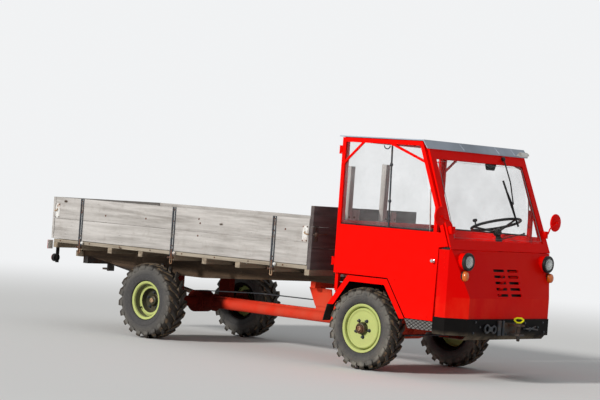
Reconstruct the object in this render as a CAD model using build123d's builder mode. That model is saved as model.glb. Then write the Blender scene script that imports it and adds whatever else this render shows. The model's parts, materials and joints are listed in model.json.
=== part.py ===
from build123d import *
import math
import os

# Motor transporter: forward cab, backbone tube chassis and a drop-side timber bed.
# X runs forward, Y to the vehicle's left and Z up from the floor, in millimetres.
# The origin is on the floor under the middle of the overall length.

os.makedirs("parts", exist_ok=True)

# Layout
wheelbase = 2770
front_overhang = 1110
rear_overhang = 1500
jaw_reach = 140
length = jaw_reach + front_overhang + wheelbase + rear_overhang
rear_x = -length / 2
bumper_x = length / 2 - jaw_reach
front_axle_x = bumper_x - front_overhang
rear_axle_x = front_axle_x - wheelbase

# Clearances
seat_gap = 0.3
moving_gap = 6

# Wheels
wheel_radius = 380
tread_depth = 28
lug_width = 30
lug_slant = 40
front_lug_count = 22
rear_lug_count = 20
bead_wall = 10
front_track_half = 680
front_tyre_half = 105
front_rim_half = 85
front_flange_radius = 226
rear_track_half = 710
rear_tyre_half = 125
rear_rim_half = 100
rear_flange_radius = 194
flange_height = 21
barrel_sheet = 6
disc_sheet = 8
spindle_radius = 24
hub_radius = 43
hub_cap_wall = 14
front_hub_out = 116
rear_hub_out = 8
drum_radius = 105
drum_in = -70
brake_plate = 12

# Front axle and steering
kingpin_y = 520
axle_tube_radius = 42
knuckle_boss_radius = 30
knuckle_boss_half = 60
fork_arm = 24
fork_half_width = 34
steering_arm = 160
tie_rod_radius = 10
tie_rod_drop = 42
tie_rod_z = wheel_radius - tie_rod_drop

# Frame under the cab
rail_y = 290
rail_half_width = 30
rail_z0 = 470
rail_z1 = 550
tube_radius = 57

# Cab
cab_half = 790
cab_back_reach = 366
cab_back_x = front_axle_x - cab_back_reach
deck_z = 856
deck_sheet = 6
floor_z = 556
sill_z = 1322
roof_top_z = 2142
roof_sheet = 10
frame_top_z = roof_top_z - roof_sheet
seam_reach = 970
seam_x = front_axle_x + seam_reach
seam_z = 1182
screen_lean = 0.396
screen_sheet = 16
roof_drop = 78
screen_top_z = roof_top_z - roof_drop
knee_z = 760
nose_inset = 160
nose_half = cab_half - nose_inset
nose_skin = 5
nose_back_reach = 842
nose_back_x = front_axle_x + nose_back_reach
chamfer_reach = 956
chamfer_x = front_axle_x + chamfer_reach
bumper_z0 = 420
bumper_z1 = 572
bumper_skin = 10
frame_tube = 36
door_thickness = 30

# Wheel arch outline, as x from the front axle and z
arch_line = [(-407, 570), (-190, deck_z), (275, deck_z), (503, 520)]
arch_flange = 55
arch_depth = 110
arch_sheet = 4

# Bed
bed_half = 790
board_thickness = 30
board_z0 = 906
board_z1 = 1342
bed_gap = 284
headboard_thickness = 40
bed_front_x = cab_back_x - bed_gap - headboard_thickness
headboard_z1 = 1468
floor_top_z = 900
floor_thickness = 35
joist_width = 60
joist_height = 55
joist_pitch = 447.5
joist_first_reach = 1045
joist_first_x = rear_axle_x - joist_first_reach
joist_count = 7
bearer_y = 380
bearer_half_width = 40
hinge_z = 838
hinge_out = 16
hinge_eye_radius = 11
hinge_pin_radius = 6
hinge_ear = 8
iron_width = 46
iron_thickness = 8


def block(x, y, z, mode=Mode.ADD):
    """Box between the low and the high value given for each axis."""
    low_high = (x, y, z)
    centre = [(low + high) / 2 for low, high in low_high]
    sizes = [high - low for low, high in low_high]
    with Locations(Vector(*centre)):
        Box(*sizes, mode=mode)


def rod(start, end, radius, mode=Mode.ADD):
    """Round bar from one point to another."""
    start = Vector(*start)
    end = Vector(*end)
    run = end - start
    with Locations(Plane(origin=start, z_dir=run).location):
        Cylinder(radius, run.length, align=(Align.CENTER, Align.CENTER, Align.MIN), mode=mode)


def export(piece, name):
    """Label a finished piece and write it under its node's name."""
    piece.part.label = name
    export_step(piece.part, "parts/" + name + ".step")


def wheel_plane(axle_x, side, track_half):
    """Section plane of a wheel: local x points outwards, local y up from the axle."""
    return Plane(origin=(axle_x, side * track_half, wheel_radius), x_dir=(0, side, 0), z_dir=(side, 0, 0))


def flat_sided_ring(axle_x, outline, sides, turn):
    """Ring of flat faces about an axle, from an outline of (y, radius to the flats); one flat is at turn."""
    rings = []
    for y, radius in outline:
        corner_radius = radius / math.cos(math.pi / sides)
        angles = [turn + (2 * index + 1) * math.pi / sides for index in range(sides)]
        ring = []
        for angle in angles:
            ring_x = axle_x + corner_radius * math.cos(angle)
            ring_z = wheel_radius + corner_radius * math.sin(angle)
            ring.append(Vector(ring_x, y, ring_z))
        rings.append(ring)
    faces = []
    for ring, next_ring in zip(rings, rings[1:] + rings[:1]):
        for index in range(sides):
            after = (index + 1) % sides
            corners = [ring[index], ring[after], next_ring[after], next_ring[index]]
            faces.append(Face(Wire.make_polygon(corners)))
    return Solid(Shell(faces))


# Wheels: corner, axle x, side, track half, tyre half, rim half, flange radius, lugs a side, hub's outer end
WHEELS = [
    ("front_left", front_axle_x, 1, front_track_half, front_tyre_half, front_rim_half, front_flange_radius,
     front_lug_count, front_hub_out),
    ("front_right", front_axle_x, -1, front_track_half, front_tyre_half, front_rim_half, front_flange_radius,
     front_lug_count, front_hub_out),
    ("rear_left", rear_axle_x, 1, rear_track_half, rear_tyre_half, rear_rim_half, rear_flange_radius,
     rear_lug_count, rear_hub_out),
    ("rear_right", rear_axle_x, -1, rear_track_half, rear_tyre_half, rear_rim_half, rear_flange_radius,
     rear_lug_count, rear_hub_out),
]
tread_root = wheel_radius - tread_depth
lug_gap = 3
lug_end_in = 2
bulge_up = 70
bead_up = 3
shoulder_share = 0.72
front_disc_out = 72
front_dish = 10
rear_disc_out = 30
rear_disc_opening = 122
rear_well = -30

for corner, axle_x, side, track_half, tyre_half, rim_half, flange_radius, lug_count, hub_out in WHEELS:
    plane = wheel_plane(axle_x, side, track_half)
    axle = Axis((axle_x, side * track_half, wheel_radius), (0, 1, 0))
    seat_radius = flange_radius - flange_height
    bead = rim_half - bead_wall - seat_gap

    # Tyre: flat-sided casing and two rows of slanted lugs, their outer ends trailing the middle ones
    half_outline = [
        (bead, seat_radius + seat_gap),
        (bead, flange_radius + bead_up),
        (tyre_half, flange_radius + bulge_up),
        (shoulder_share * tyre_half, tread_root),
    ]
    middle = side * track_half
    casing_outline = [(middle - out, radius) for out, radius in half_outline]
    casing_outline += [(middle + out, radius) for out, radius in reversed(half_outline)]
    slant = math.radians(lug_slant)
    lug_span = tyre_half - lug_end_in - lug_gap
    lug_length = (lug_span - lug_width * math.sin(slant)) / math.cos(slant)
    lug_reach = (lug_length * math.sin(slant) + lug_width * math.cos(slant)) / 2
    lug_top = math.sqrt(wheel_radius ** 2 - lug_reach ** 2)
    lug_foot = tread_root - 34
    first_turn = -math.pi / 2 - math.atan2(lug_reach, lug_top)
    lug_places = []
    for index in range(2 * lug_count):
        turn = first_turn + index * math.pi / lug_count
        row = 1 if index % 2 == 0 else -1
        outwards = Vector(math.cos(turn), 0, math.sin(turn))
        around = Vector(-math.sin(turn), 0, math.cos(turn))
        along = Vector(0, row * math.cos(slant), 0) + around * math.sin(slant)
        foot_y = middle + row * (lug_gap + lug_span / 2)
        foot = Vector(axle_x, foot_y, wheel_radius) + outwards * lug_foot
        lug_places.append(Plane(origin=foot, x_dir=along, z_dir=outwards).location)
    with BuildPart() as tyre:
        add(flat_sided_ring(axle_x, casing_outline, lug_count, first_turn))
        with Locations(*lug_places):
            Box(lug_length, lug_width, lug_top - lug_foot, align=(Align.CENTER, Align.CENTER, Align.MIN))
    export(tyre, "tyre_" + corner)

    if axle_x == front_axle_x:
        # Dished disc with a rolled shoulder, and a tapered hub that stands out of its middle
        disc_back = front_disc_out - front_dish - disc_sheet
        disc_line = [
            (front_disc_out - 42, seat_radius - 2),
            (front_disc_out - 8, seat_radius - 12),
            (front_disc_out, seat_radius - 24),
            (front_disc_out - front_dish, seat_radius - 44),
            (front_disc_out - front_dish, hub_radius),
            (disc_back, hub_radius),
            (disc_back, seat_radius - 50),
            (front_disc_out - 50, seat_radius - 2),
        ]
        hub_line = [(disc_back, drum_radius), (disc_back, hub_radius + 19), (hub_out - 26, hub_radius + 4)]
    else:
        # Ring inside the barrel, and a deep well whose floor carries the hub
        disc_line = [
            (rear_disc_out, seat_radius - 2),
            (rear_disc_out, rear_disc_opening),
            (rear_well + disc_sheet, drum_radius),
            (rear_well + disc_sheet, hub_radius),
            (rear_well, hub_radius),
            (rear_well, drum_radius + 4),
            (rear_disc_out - disc_sheet, rear_disc_opening + 4),
            (rear_disc_out - disc_sheet, seat_radius - 2),
        ]
        hub_line = [(rear_well, drum_radius), (rear_well, hub_radius + 8), (hub_out - 20, hub_radius + 4)]
    with BuildPart() as rim:
        with BuildSketch(plane):
            with BuildLine():
                Polyline(
                    (-rim_half, flange_radius),
                    (-rim_half + bead_wall, flange_radius),
                    (-rim_half + bead_wall, seat_radius),
                    (rim_half - bead_wall, seat_radius),
                    (rim_half - bead_wall, flange_radius),
                    (rim_half, flange_radius),
                    (rim_half, seat_radius - barrel_sheet),
                    (-rim_half, seat_radius - barrel_sheet),
                    close=True,
                )
            make_face()
            with BuildLine():
                Polyline(*disc_line, close=True)
            make_face()
            with BuildLine():
                Polyline(
                    (drum_in, spindle_radius + seat_gap),
                    (drum_in, drum_radius),
                    *hub_line,
                    (hub_out - 6, hub_radius),
                    (hub_out, hub_radius - 8),
                    (hub_out, 0),
                    (hub_out - hub_cap_wall, 0),
                    (hub_out - hub_cap_wall, spindle_radius + seat_gap),
                    close=True,
                )
            make_face()
        revolve(axis=axle)
    export(rim, "rim_" + corner)

# Backbone tube with its end flanges and the flat rail on its top
tube_x0 = rear_axle_x + 190
tube_x1 = front_axle_x - 330
flange_plate = 20
top_rail_half = 20
top_rail_height = 12
with BuildPart() as backbone_tube:
    rod((tube_x0, 0, wheel_radius), (tube_x1, 0, wheel_radius), tube_radius)
    rod((tube_x0, 0, wheel_radius), (tube_x0 + flange_plate, 0, wheel_radius), tube_radius + 32)
    rod((tube_x1 - flange_plate, 0, wheel_radius), (tube_x1, 0, wheel_radius), tube_radius + 32)
    rail_x = (tube_x0 + flange_plate, tube_x1 - flange_plate)
    rail_top = wheel_radius + tube_radius + top_rail_height
    block(rail_x, (-top_rail_half, top_rail_half), (wheel_radius, rail_top))
export(backbone_tube, "backbone_tube")

# Rear axle housing with its differential case, brake plates and spindles
diff_radius = 112
diff_half = 95
plate_gap = 6
rear_plate_in = rear_track_half + drum_in - plate_gap - brake_plate
spindle_clear = 4
rear_spindle_end = rear_track_half + rear_hub_out - hub_cap_wall - spindle_clear
with BuildPart() as rear_axle_housing:
    rod((rear_axle_x, -rear_plate_in, wheel_radius), (rear_axle_x, rear_plate_in, wheel_radius),
        axle_tube_radius + 12)
    rod((rear_axle_x, -diff_half, wheel_radius), (rear_axle_x, diff_half, wheel_radius), diff_radius)
    rod((rear_axle_x, 0, wheel_radius), (tube_x0, 0, wheel_radius), 84)
    for side in (1, -1):
        rod((rear_axle_x, side * rear_plate_in, wheel_radius),
            (rear_axle_x, side * (rear_plate_in + brake_plate), wheel_radius), drum_radius)
        rod((rear_axle_x, side * rear_plate_in, wheel_radius),
            (rear_axle_x, side * rear_spindle_end, wheel_radius), spindle_radius)
export(rear_axle_housing, "rear_axle_housing")

# Front axle housing with its differential case, forks and frame pads
front_arm_out = kingpin_y + fork_half_width
fork_root = kingpin_y - knuckle_boss_radius - 30
fork_z = knuckle_boss_half + 0.5
with BuildPart() as front_axle_housing:
    rod((front_axle_x, -fork_root, wheel_radius), (front_axle_x, fork_root, wheel_radius), axle_tube_radius)
    rod((front_axle_x, -diff_half, wheel_radius), (front_axle_x, diff_half, wheel_radius), diff_radius - 10)
    rod((front_axle_x, 0, wheel_radius), (tube_x1, 0, wheel_radius), 78)
    for side in (1, -1):
        fork_x = (front_axle_x - fork_half_width, front_axle_x + fork_half_width)
        root_y = sorted((side * (fork_root - 10), side * (fork_root + 14)))
        arm_y = sorted((side * (fork_root - 10), side * front_arm_out))
        block(fork_x, root_y, (wheel_radius - fork_z - fork_arm, wheel_radius + fork_z + fork_arm))
        block(fork_x, arm_y, (wheel_radius + fork_z, wheel_radius + fork_z + fork_arm))
        block(fork_x, arm_y, (wheel_radius - fork_z - fork_arm, wheel_radius - fork_z))
        pin_z = fork_z + fork_arm + 12
        for end in (1, -1):
            rod((front_axle_x, side * kingpin_y, wheel_radius + end * fork_z),
                (front_axle_x, side * kingpin_y, wheel_radius + end * pin_z), 20)
        pad_y = sorted((side * (rail_y - rail_half_width), side * (rail_y + rail_half_width)))
        block((front_axle_x - 55, front_axle_x + 55), pad_y, (wheel_radius, rail_z0))
export(front_axle_housing, "front_axle_housing")

# Steering knuckles: boss between the fork arms, spindle, brake plate and steering arm
front_plate_in = front_track_half + drum_in - plate_gap - brake_plate
front_spindle_end = front_track_half + front_hub_out - hub_cap_wall - spindle_clear
for name, side in (("left", 1), ("right", -1)):
    with BuildPart() as knuckle:
        pin_y = side * kingpin_y
        rod((front_axle_x, pin_y, wheel_radius - knuckle_boss_half),
            (front_axle_x, pin_y, wheel_radius + knuckle_boss_half), knuckle_boss_radius)
        rod((front_axle_x, pin_y, wheel_radius),
            (front_axle_x, side * front_spindle_end, wheel_radius), spindle_radius)
        rod((front_axle_x, side * front_plate_in, wheel_radius),
            (front_axle_x, side * (front_plate_in + brake_plate), wheel_radius), drum_radius)
        arm_y = sorted((pin_y - side * 14, pin_y + side * 14))
        arm_z = (tie_rod_z, tie_rod_z + 20)
        block((front_axle_x + 10, front_axle_x + steering_arm + 18), arm_y, arm_z)
    export(knuckle, "knuckle_" + name)

# Tie rod between the two steering arms
eye_height = 22
with BuildPart() as tie_rod:
    rod_x = front_axle_x + steering_arm
    rod_z = tie_rod_z - seat_gap - eye_height / 2
    rod((rod_x, -kingpin_y, rod_z), (rod_x, kingpin_y, rod_z), tie_rod_radius)
    for side in (1, -1):
        rod((rod_x, side * kingpin_y, rod_z - eye_height / 2),
            (rod_x, side * kingpin_y, rod_z + eye_height / 2), 17)
export(tie_rod, "tie_rod")

# Engine and gearbox as one plain block between the rails, on side lugs
engine_half = 200
engine_x = (front_axle_x - 330, front_axle_x + 260)
engine_z = (500, deck_z - deck_sheet - 14)
with BuildPart() as engine_block:
    block(engine_x, (-engine_half, engine_half), engine_z)
    for lug_x in (engine_x[0] + 60, engine_x[1] - 60):
        block((lug_x - 30, lug_x + 30), (-rail_y + rail_half_width, rail_y - rail_half_width), (505, 545))
export(engine_block, "engine_block")

# Rails under the cab with their cross members, and the gusset plates that carry the bed's front
rail_back_reach = 940
rail_x0 = front_axle_x - rail_back_reach
bearer_front_bottom = 735
gusset_plate = 10
rail_x1 = bumper_x - bumper_skin
deck_posts = [(cab_back_x + 20, cab_back_x + 60), (front_axle_x + 220, front_axle_x + 260)]
with BuildPart() as front_frame:
    for side in (1, -1):
        rail_span = sorted((side * (rail_y - rail_half_width), side * (rail_y + rail_half_width)))
        block((rail_x0, rail_x1), rail_span, (rail_z0, rail_z1))
        for post in deck_posts:
            block(post, rail_span, (rail_z1, deck_z - deck_sheet))
    for cross_x in (rail_x0, bumper_x - 190):
        block((cross_x, cross_x + 50), (-rail_y, rail_y), (rail_z0 + 5, rail_z1 - 5))
        gusset_y = side * (rail_y + rail_half_width + gusset_plate)
        with BuildSketch(Plane.XZ.offset(-gusset_y)):
            with BuildLine():
                Polyline(
                    (rail_x0, rail_z0 + 30),
                    (rail_x0 - 90, bearer_front_bottom - 60),
                    (rail_x0 + 190, bearer_front_bottom - 60),
                    (rail_x0 + 220, rail_z0 + 30),
                    close=True,
                )
            make_face()
        extrude(amount=side * gusset_plate)
    saddle_x = (tube_x1 - 130, tube_x1 - 60)
    block(saddle_x, (-rail_y, rail_y), (wheel_radius + tube_radius + top_rail_height, rail_z1 - 20))
export(front_frame, "front_frame")

# Bed supports: a stand on each end of the rear axle and a trestle on the rails
bearer_bottom = 645
trestle_x = (rail_x0, rail_x0 + 60)
with BuildPart() as bed_supports:
    for side in (1, -1):
        stand_y = sorted((side * (bearer_y - bearer_half_width), side * (bearer_y + bearer_half_width)))
        block((rear_axle_x - 70, rear_axle_x + 70), stand_y, (wheel_radius, bearer_bottom))
        post_y = sorted((side * (rail_y - rail_half_width), side * (rail_y + rail_half_width)))
        block(trestle_x, post_y, (rail_z1, bearer_front_bottom - 60))
    block(trestle_x, (-bearer_y - bearer_half_width, bearer_y + bearer_half_width),
          (bearer_front_bottom - 60, bearer_front_bottom))
    # The axle tube passes through the stands
    rod((rear_axle_x, -rear_track_half, wheel_radius), (rear_axle_x, rear_track_half, wheel_radius),
        axle_tube_radius + 12, mode=Mode.SUBTRACT)
export(bed_supports, "bed_supports")

# Bed bearers: two deep timbers that taper towards both ends
joist_top = floor_top_z - floor_thickness
joist_bottom = joist_top - joist_height
bearer_rear_x = rear_x + 40
bearer_outline = [
    (bearer_rear_x, joist_bottom),
    (bearer_rear_x, 735),
    (bearer_rear_x + 170, 735),
    (rear_axle_x - 660, bearer_bottom),
    (rear_axle_x + 390, bearer_bottom),
    (rail_x0, bearer_front_bottom),
    (bed_front_x + headboard_thickness, bearer_front_bottom),
    (bed_front_x + headboard_thickness, joist_bottom),
]
with BuildPart() as bed_bearers:
    for side in (1, -1):
        with BuildSketch(Plane.XZ.offset(-side * bearer_y)):
            with BuildLine():
                Polyline(*bearer_outline, close=True)
            make_face()
        extrude(amount=bearer_half_width, both=True)
export(bed_bearers, "bed_bearers")

# Cross joists under the floor
joist_xs = [joist_first_x + index * joist_pitch for index in range(joist_count)]
rear_joist_x = rear_x + 75
joist_xs += [rear_joist_x, bed_front_x]
joist_half = bed_half - moving_gap
with BuildPart() as cross_joists:
    for joist_x in joist_xs:
        joist_span = (joist_x - joist_width / 2, joist_x + joist_width / 2)
        block(joist_span, (-joist_half, joist_half), (joist_bottom, joist_top))
export(cross_joists, "cross_joists")

# Bed floor
floor_x = (rear_x + iron_thickness + board_thickness + moving_gap, bed_front_x)
with BuildPart() as bed_floor:
    block(floor_x, (-joist_half, joist_half), (joist_top, floor_top_z))
export(bed_floor, "bed_floor")

# Headboard with its battens and two tall posts
headboard_front = bed_front_x + headboard_thickness
post_half = 32
post_depth = 55
batten_depth = 28
POSTS = [(213, 1912), (-322, 1868)]
BATTENS = [(387, 42), (-202, 58)]
with BuildPart() as headboard:
    block((bed_front_x, headboard_front), (-bed_half, bed_half), (joist_top, headboard_z1))
    for post_y, post_top in POSTS:
        post_x = (headboard_front, headboard_front + post_depth)
        block(post_x, (post_y - post_half, post_y + post_half), (joist_bottom, post_top))
    for batten_y, batten_half in BATTENS:
        batten_x = (headboard_front, headboard_front + batten_depth)
        block(batten_x, (batten_y - batten_half, batten_y + batten_half), (joist_bottom, headboard_z1 - 12))
export(headboard, "headboard")


def hinge_iron(length, low_z, high_z):
    """Channel iron on a board's face: web at x 0, flanges out to the given length, middle at y 0."""
    with BuildPart() as form:
        block((0, iron_web), (-iron_width / 2, iron_width / 2), (low_z, high_z))
        for flange_y in (-iron_width / 2, iron_width / 2 - iron_flange):
            block((0, length), (flange_y, flange_y + iron_flange), (low_z, high_z))
        block((0, length), (-iron_width / 2, iron_width / 2), (low_z, low_z + iron_foot))
    return form.part


# Drop sides: boards with three channel irons down to the hinges
iron_web = 3
iron_flange = 13
iron_foot = 70
IRON_XS = [joist_first_x + index * joist_pitch for index in (0, 3, 6)]
side_x = (rear_x + iron_thickness + board_thickness + moving_gap, bed_front_x - moving_gap)
for name, side in (("left", 1), ("right", -1)):
    with BuildPart() as sideboard:
        board_y = sorted((side * (bed_half - board_thickness), side * bed_half))
        block(side_x, board_y, (board_z0, board_z1))
        iron = hinge_iron(iron_thickness, hinge_z - 8, board_z1)
        for iron_x in IRON_XS:
            add(Location((iron_x, side * bed_half, 0), (0, 0, side * 90)) * iron)
            eye_from = (iron_x - iron_width / 2, side * (bed_half + hinge_out), hinge_z)
            eye_to = (iron_x + iron_width / 2, side * (bed_half + hinge_out), hinge_z)
            rod(eye_from, eye_to, hinge_eye_radius)
            rod(eye_from, eye_to, hinge_pin_radius + seat_gap, mode=Mode.SUBTRACT)
    export(sideboard, "sideboard_" + name)

# Tailboard across the whole width
TAIL_IRON_YS = [-560, 0, 560]
tail_x = (rear_x + iron_thickness, rear_x + iron_thickness + board_thickness)
with BuildPart() as tailboard:
    block(tail_x, (-bed_half, bed_half), (board_z0, board_z1))
    iron = hinge_iron(iron_thickness, hinge_z - 8, board_z1)
    for iron_y in TAIL_IRON_YS:
        add(Location((tail_x[0], iron_y, 0), (0, 0, 180)) * iron)
        eye_from = (rear_x + hinge_eye_radius, iron_y - iron_width / 2, hinge_z)
        eye_to = (rear_x + hinge_eye_radius, iron_y + iron_width / 2, hinge_z)
        rod(eye_from, eye_to, hinge_eye_radius)
        rod(eye_from, eye_to, hinge_pin_radius + seat_gap, mode=Mode.SUBTRACT)
export(tailboard, "tailboard")

# Hinge pins of the drop sides and the tailboard, each between two ears
ear_in = iron_width / 2 + 0.5
ear_out = ear_in + hinge_ear
ear_height = (hinge_z - hinge_eye_radius, hinge_z + hinge_eye_radius)
with BuildPart() as bed_hinges:
    for side in (1, -1):
        for iron_x in IRON_XS:
            pin_y = side * (bed_half + hinge_out)
            rod((iron_x - ear_out, pin_y, hinge_z), (iron_x + ear_out, pin_y, hinge_z), hinge_pin_radius)
            ear_y = sorted((side * joist_half, side * (bed_half + hinge_out + hinge_eye_radius)))
            for ear_x in (iron_x - ear_out, iron_x + ear_in):
                block((ear_x, ear_x + hinge_ear), ear_y, ear_height)
    for iron_y in TAIL_IRON_YS:
        pin_x = rear_x + hinge_eye_radius
        rod((pin_x, iron_y - ear_out, hinge_z), (pin_x, iron_y + ear_out, hinge_z), hinge_pin_radius)
        for ear_y in (iron_y - ear_out, iron_y + ear_in):
            block((rear_x, rear_joist_x - joist_width / 2), (ear_y, ear_y + hinge_ear), ear_height)
export(bed_hinges, "bed_hinges")

# Tail lamps on their bars
tail_lamp_y = bed_half - 52
tail_lamp_z = 700
tail_lamp_radius = 42
tail_bar_x = rear_x + 60
with BuildPart() as tail_lamps:
    for side in (1, -1):
        bar_y = sorted((side * (tail_lamp_y - 20), side * (tail_lamp_y + 20)))
        block((tail_bar_x, tail_bar_x + 12), bar_y, (tail_lamp_z - 50, joist_bottom))
        rod((tail_bar_x, side * tail_lamp_y, tail_lamp_z), (tail_bar_x - 40, side * tail_lamp_y, tail_lamp_z),
            tail_lamp_radius)
export(tail_lamps, "tail_lamps")

# Tow hitch: cross bar between the bearers, a jaw and a strut down to the rear axle
hitch_z = 635
hitch_half = 45
hitch_gap_half = 30
cheek_plate = 20
hitch_pin_radius = 15
hitch_x = rear_x + 70
hitch_plate_x = rear_x + 110
cross_bar_z1 = 735
with BuildPart() as tow_hitch:
    cross_y = bearer_y + bearer_half_width
    block((hitch_plate_x + 20, hitch_plate_x + 90), (-cross_y, cross_y), (cross_bar_z1 - 80, cross_bar_z1))
    block((hitch_plate_x, hitch_plate_x + 20), (-hitch_half, hitch_half), (hitch_z - 60, cross_bar_z1))
    for cheek in (1, -1):
        cheek_z = sorted((hitch_z + cheek * hitch_gap_half, hitch_z + cheek * (hitch_gap_half + cheek_plate)))
        block((rear_x + 40, hitch_plate_x + 20), (-hitch_half, hitch_half), cheek_z)
    rod((hitch_plate_x + 40, 0, cross_bar_z1 - 70), (rear_axle_x, 0, wheel_radius + 60), 24)
    rod((rear_axle_x, -2 * diff_half, wheel_radius), (rear_axle_x, 2 * diff_half, wheel_radius),
        diff_radius + seat_gap, mode=Mode.SUBTRACT)
    rod((hitch_x, 0, hitch_z - 200), (hitch_x, 0, hitch_z + 200), hitch_pin_radius, mode=Mode.SUBTRACT)
export(tow_hitch, "tow_hitch")

# Cab floor: rear deck, sloping step down and foot floor
arch_points = [(front_axle_x + x, z) for x, z in arch_line]
deck_front_x, slope_foot_x = arch_points[2][0], arch_points[3][0]
cab_inner = cab_half - arch_depth
floor_front_x = bumper_x - 70
with BuildPart() as cab_floor:
    with BuildSketch(Plane.XZ):
        with BuildLine():
            Polyline(
                (cab_back_x, deck_z),
                (deck_front_x, deck_z),
                (slope_foot_x - 10, floor_z),
                (floor_front_x, floor_z),
                (floor_front_x, floor_z - deck_sheet),
                (slope_foot_x - 10 - deck_sheet, floor_z - deck_sheet),
                (deck_front_x - deck_sheet, deck_z - deck_sheet),
                (cab_back_x, deck_z - deck_sheet),
                close=True,
            )
        make_face()
    extrude(amount=cab_inner, both=True)
export(cab_floor, "cab_floor")

# Mudguards: an upright flange round the arch and a sheet that runs inwards from it
inner_arch = [(-337, 572), (-163, deck_z - arch_flange), (246, deck_z - arch_flange), (446, 516)]
inner_points = [(front_axle_x + x, z) for x, z in inner_arch]
sheet_line = [(-403, 570), (-188, deck_z - 4), (273, deck_z - 4), (499, 520)]
sheet_points = [(front_axle_x + x, z) for x, z in sheet_line]
with BuildPart() as mudguards:
    for side in (1, -1):
        with BuildSketch(Plane.XZ.offset(-side * cab_half)):
            with BuildLine():
                Polyline(*arch_points, *reversed(inner_points), close=True)
            make_face()
        extrude(amount=side * arch_sheet)
        with BuildSketch(Plane.XZ.offset(-side * cab_half)):
            with BuildLine():
                Polyline(*arch_points, *reversed(sheet_points), close=True)
            make_face()
        extrude(amount=side * arch_depth)
export(mudguards, "mudguards")

# Rubber flaps behind the front wheels
with BuildPart() as mudflaps:
    for side in (1, -1):
        with BuildSketch(Plane.XZ.offset(-side * cab_half)):
            with BuildLine():
                top_x, top_z = arch_points[0]
                foot_x = top_x - 44
                Polyline(
                    (top_x + 4, top_z),
                    (top_x - 3, top_z),
                    (foot_x - 3, 411),
                    (foot_x + 4, 411),
                    close=True,
                )
            make_face()
        extrude(amount=side * arch_depth)
export(mudflaps, "mudflaps")


def screen_x(z, back=0):
    """X of the windscreen's outer plane at height z, set back horizontally by back."""
    return seam_x - (z - seam_z) * screen_lean - back


# Door hinge line and heights
door_pin_radius = 6
door_barrel_radius = 9
door_barrel_half = 30
door_hinge_x = cab_back_x - 14
door_hinge_y = cab_half + 2
DOOR_HINGE_ZS = [975, 2010]

# Cab frame tubes: posts, slanted front pillars, top ring and cross rails
pillar_back = screen_sheet * math.hypot(1, screen_lean)
frame_out = cab_half - door_thickness - 6
frame_in = frame_out - frame_tube
post_foot_z = 700
closing_post_x = (nose_back_x, nose_back_x + frame_tube)
pillar_tube = 40
inner_post_x = (nose_back_x - 107, nose_back_x - 107 + frame_tube)
inner_post_top = seam_z + (seam_x - pillar_back - pillar_tube - inner_post_x[0]) / screen_lean
with BuildPart() as cab_frame:
    for side in (1, -1):
        tube_y = sorted((side * frame_in, side * frame_out))
        block((cab_back_x, cab_back_x + frame_tube), tube_y, (post_foot_z, frame_top_z))
        top_rail_x = (cab_back_x, screen_x(frame_top_z, pillar_back))
        block(top_rail_x, tube_y, (frame_top_z - frame_tube, frame_top_z))
        block(closing_post_x, tube_y, (floor_z, seam_z + 90))
        block(inner_post_x, tube_y, (floor_z, inner_post_top - 60))
        with BuildSketch(Plane.XZ.offset(-side * frame_out)):
            with BuildLine():
                Polyline(
                    (screen_x(seam_z, pillar_back), seam_z),
                    (screen_x(frame_top_z, pillar_back), frame_top_z),
                    (screen_x(frame_top_z, pillar_back + pillar_tube), frame_top_z),
                    (screen_x(seam_z, pillar_back + pillar_tube), seam_z),
                    close=True,
                )
            make_face()
        extrude(amount=side * frame_tube)
        for hinge_height in DOOR_HINGE_ZS:
            ear_y = sorted((side * frame_in, side * (door_hinge_y + door_pin_radius)))
            pin_reach = door_barrel_half + 0.5 + hinge_ear
            rod((door_hinge_x, side * door_hinge_y, hinge_height - pin_reach),
                (door_hinge_x, side * door_hinge_y, hinge_height + pin_reach), door_pin_radius)
            for ear_z in (hinge_height - pin_reach, hinge_height + pin_reach - hinge_ear):
                block((door_hinge_x - door_barrel_radius, cab_back_x), ear_y, (ear_z, ear_z + hinge_ear))
    for low_x, low_z in (
        (cab_back_x, frame_top_z - frame_tube),
        (cab_back_x, sill_z),
        (screen_x(frame_top_z, pillar_back) - frame_tube, frame_top_z - frame_tube),
        (screen_x(seam_z + frame_tube, pillar_back) - frame_tube, seam_z),
    ):
        block((low_x, low_x + frame_tube), (-frame_out, frame_out), (low_z, low_z + frame_tube))
export(cab_frame, "cab_frame")

# Rear wall below the back window
rear_wall_sheet = 20
with BuildPart() as cab_rear_wall:
    block((cab_back_x, cab_back_x + rear_wall_sheet), (-frame_in, frame_in), (deck_z, sill_z))
export(cab_rear_wall, "cab_rear_wall")

# Windscreen frame in its leaning plane
screen_band = 75
screen_bottom_half = cab_half - 6
screen_top_half = cab_half - 38
screen_glass_z0 = seam_z + 86
screen_glass_z1 = screen_top_z - 84
screen_plane = Plane(origin=(seam_x, 0, seam_z), x_dir=(0, 1, 0), z_dir=(1, 0, screen_lean))


def up_screen(z):
    """Distance up the leaning windscreen plane from the seam to height z."""
    return (z - seam_z) * math.hypot(1, screen_lean)


def screen_half(z):
    """Half width of the windscreen frame at height z."""
    share = (z - seam_z) / (screen_top_z - seam_z)
    return screen_bottom_half + share * (screen_top_half - screen_bottom_half)


def screen_outline(z0, z1, inset):
    """Trapezium in the windscreen plane between two heights."""
    return [
        (-screen_half(z0) + inset, up_screen(z0)),
        (screen_half(z0) - inset, up_screen(z0)),
        (screen_half(z1) - inset, up_screen(z1)),
        (-screen_half(z1) + inset, up_screen(z1)),
    ]


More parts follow.
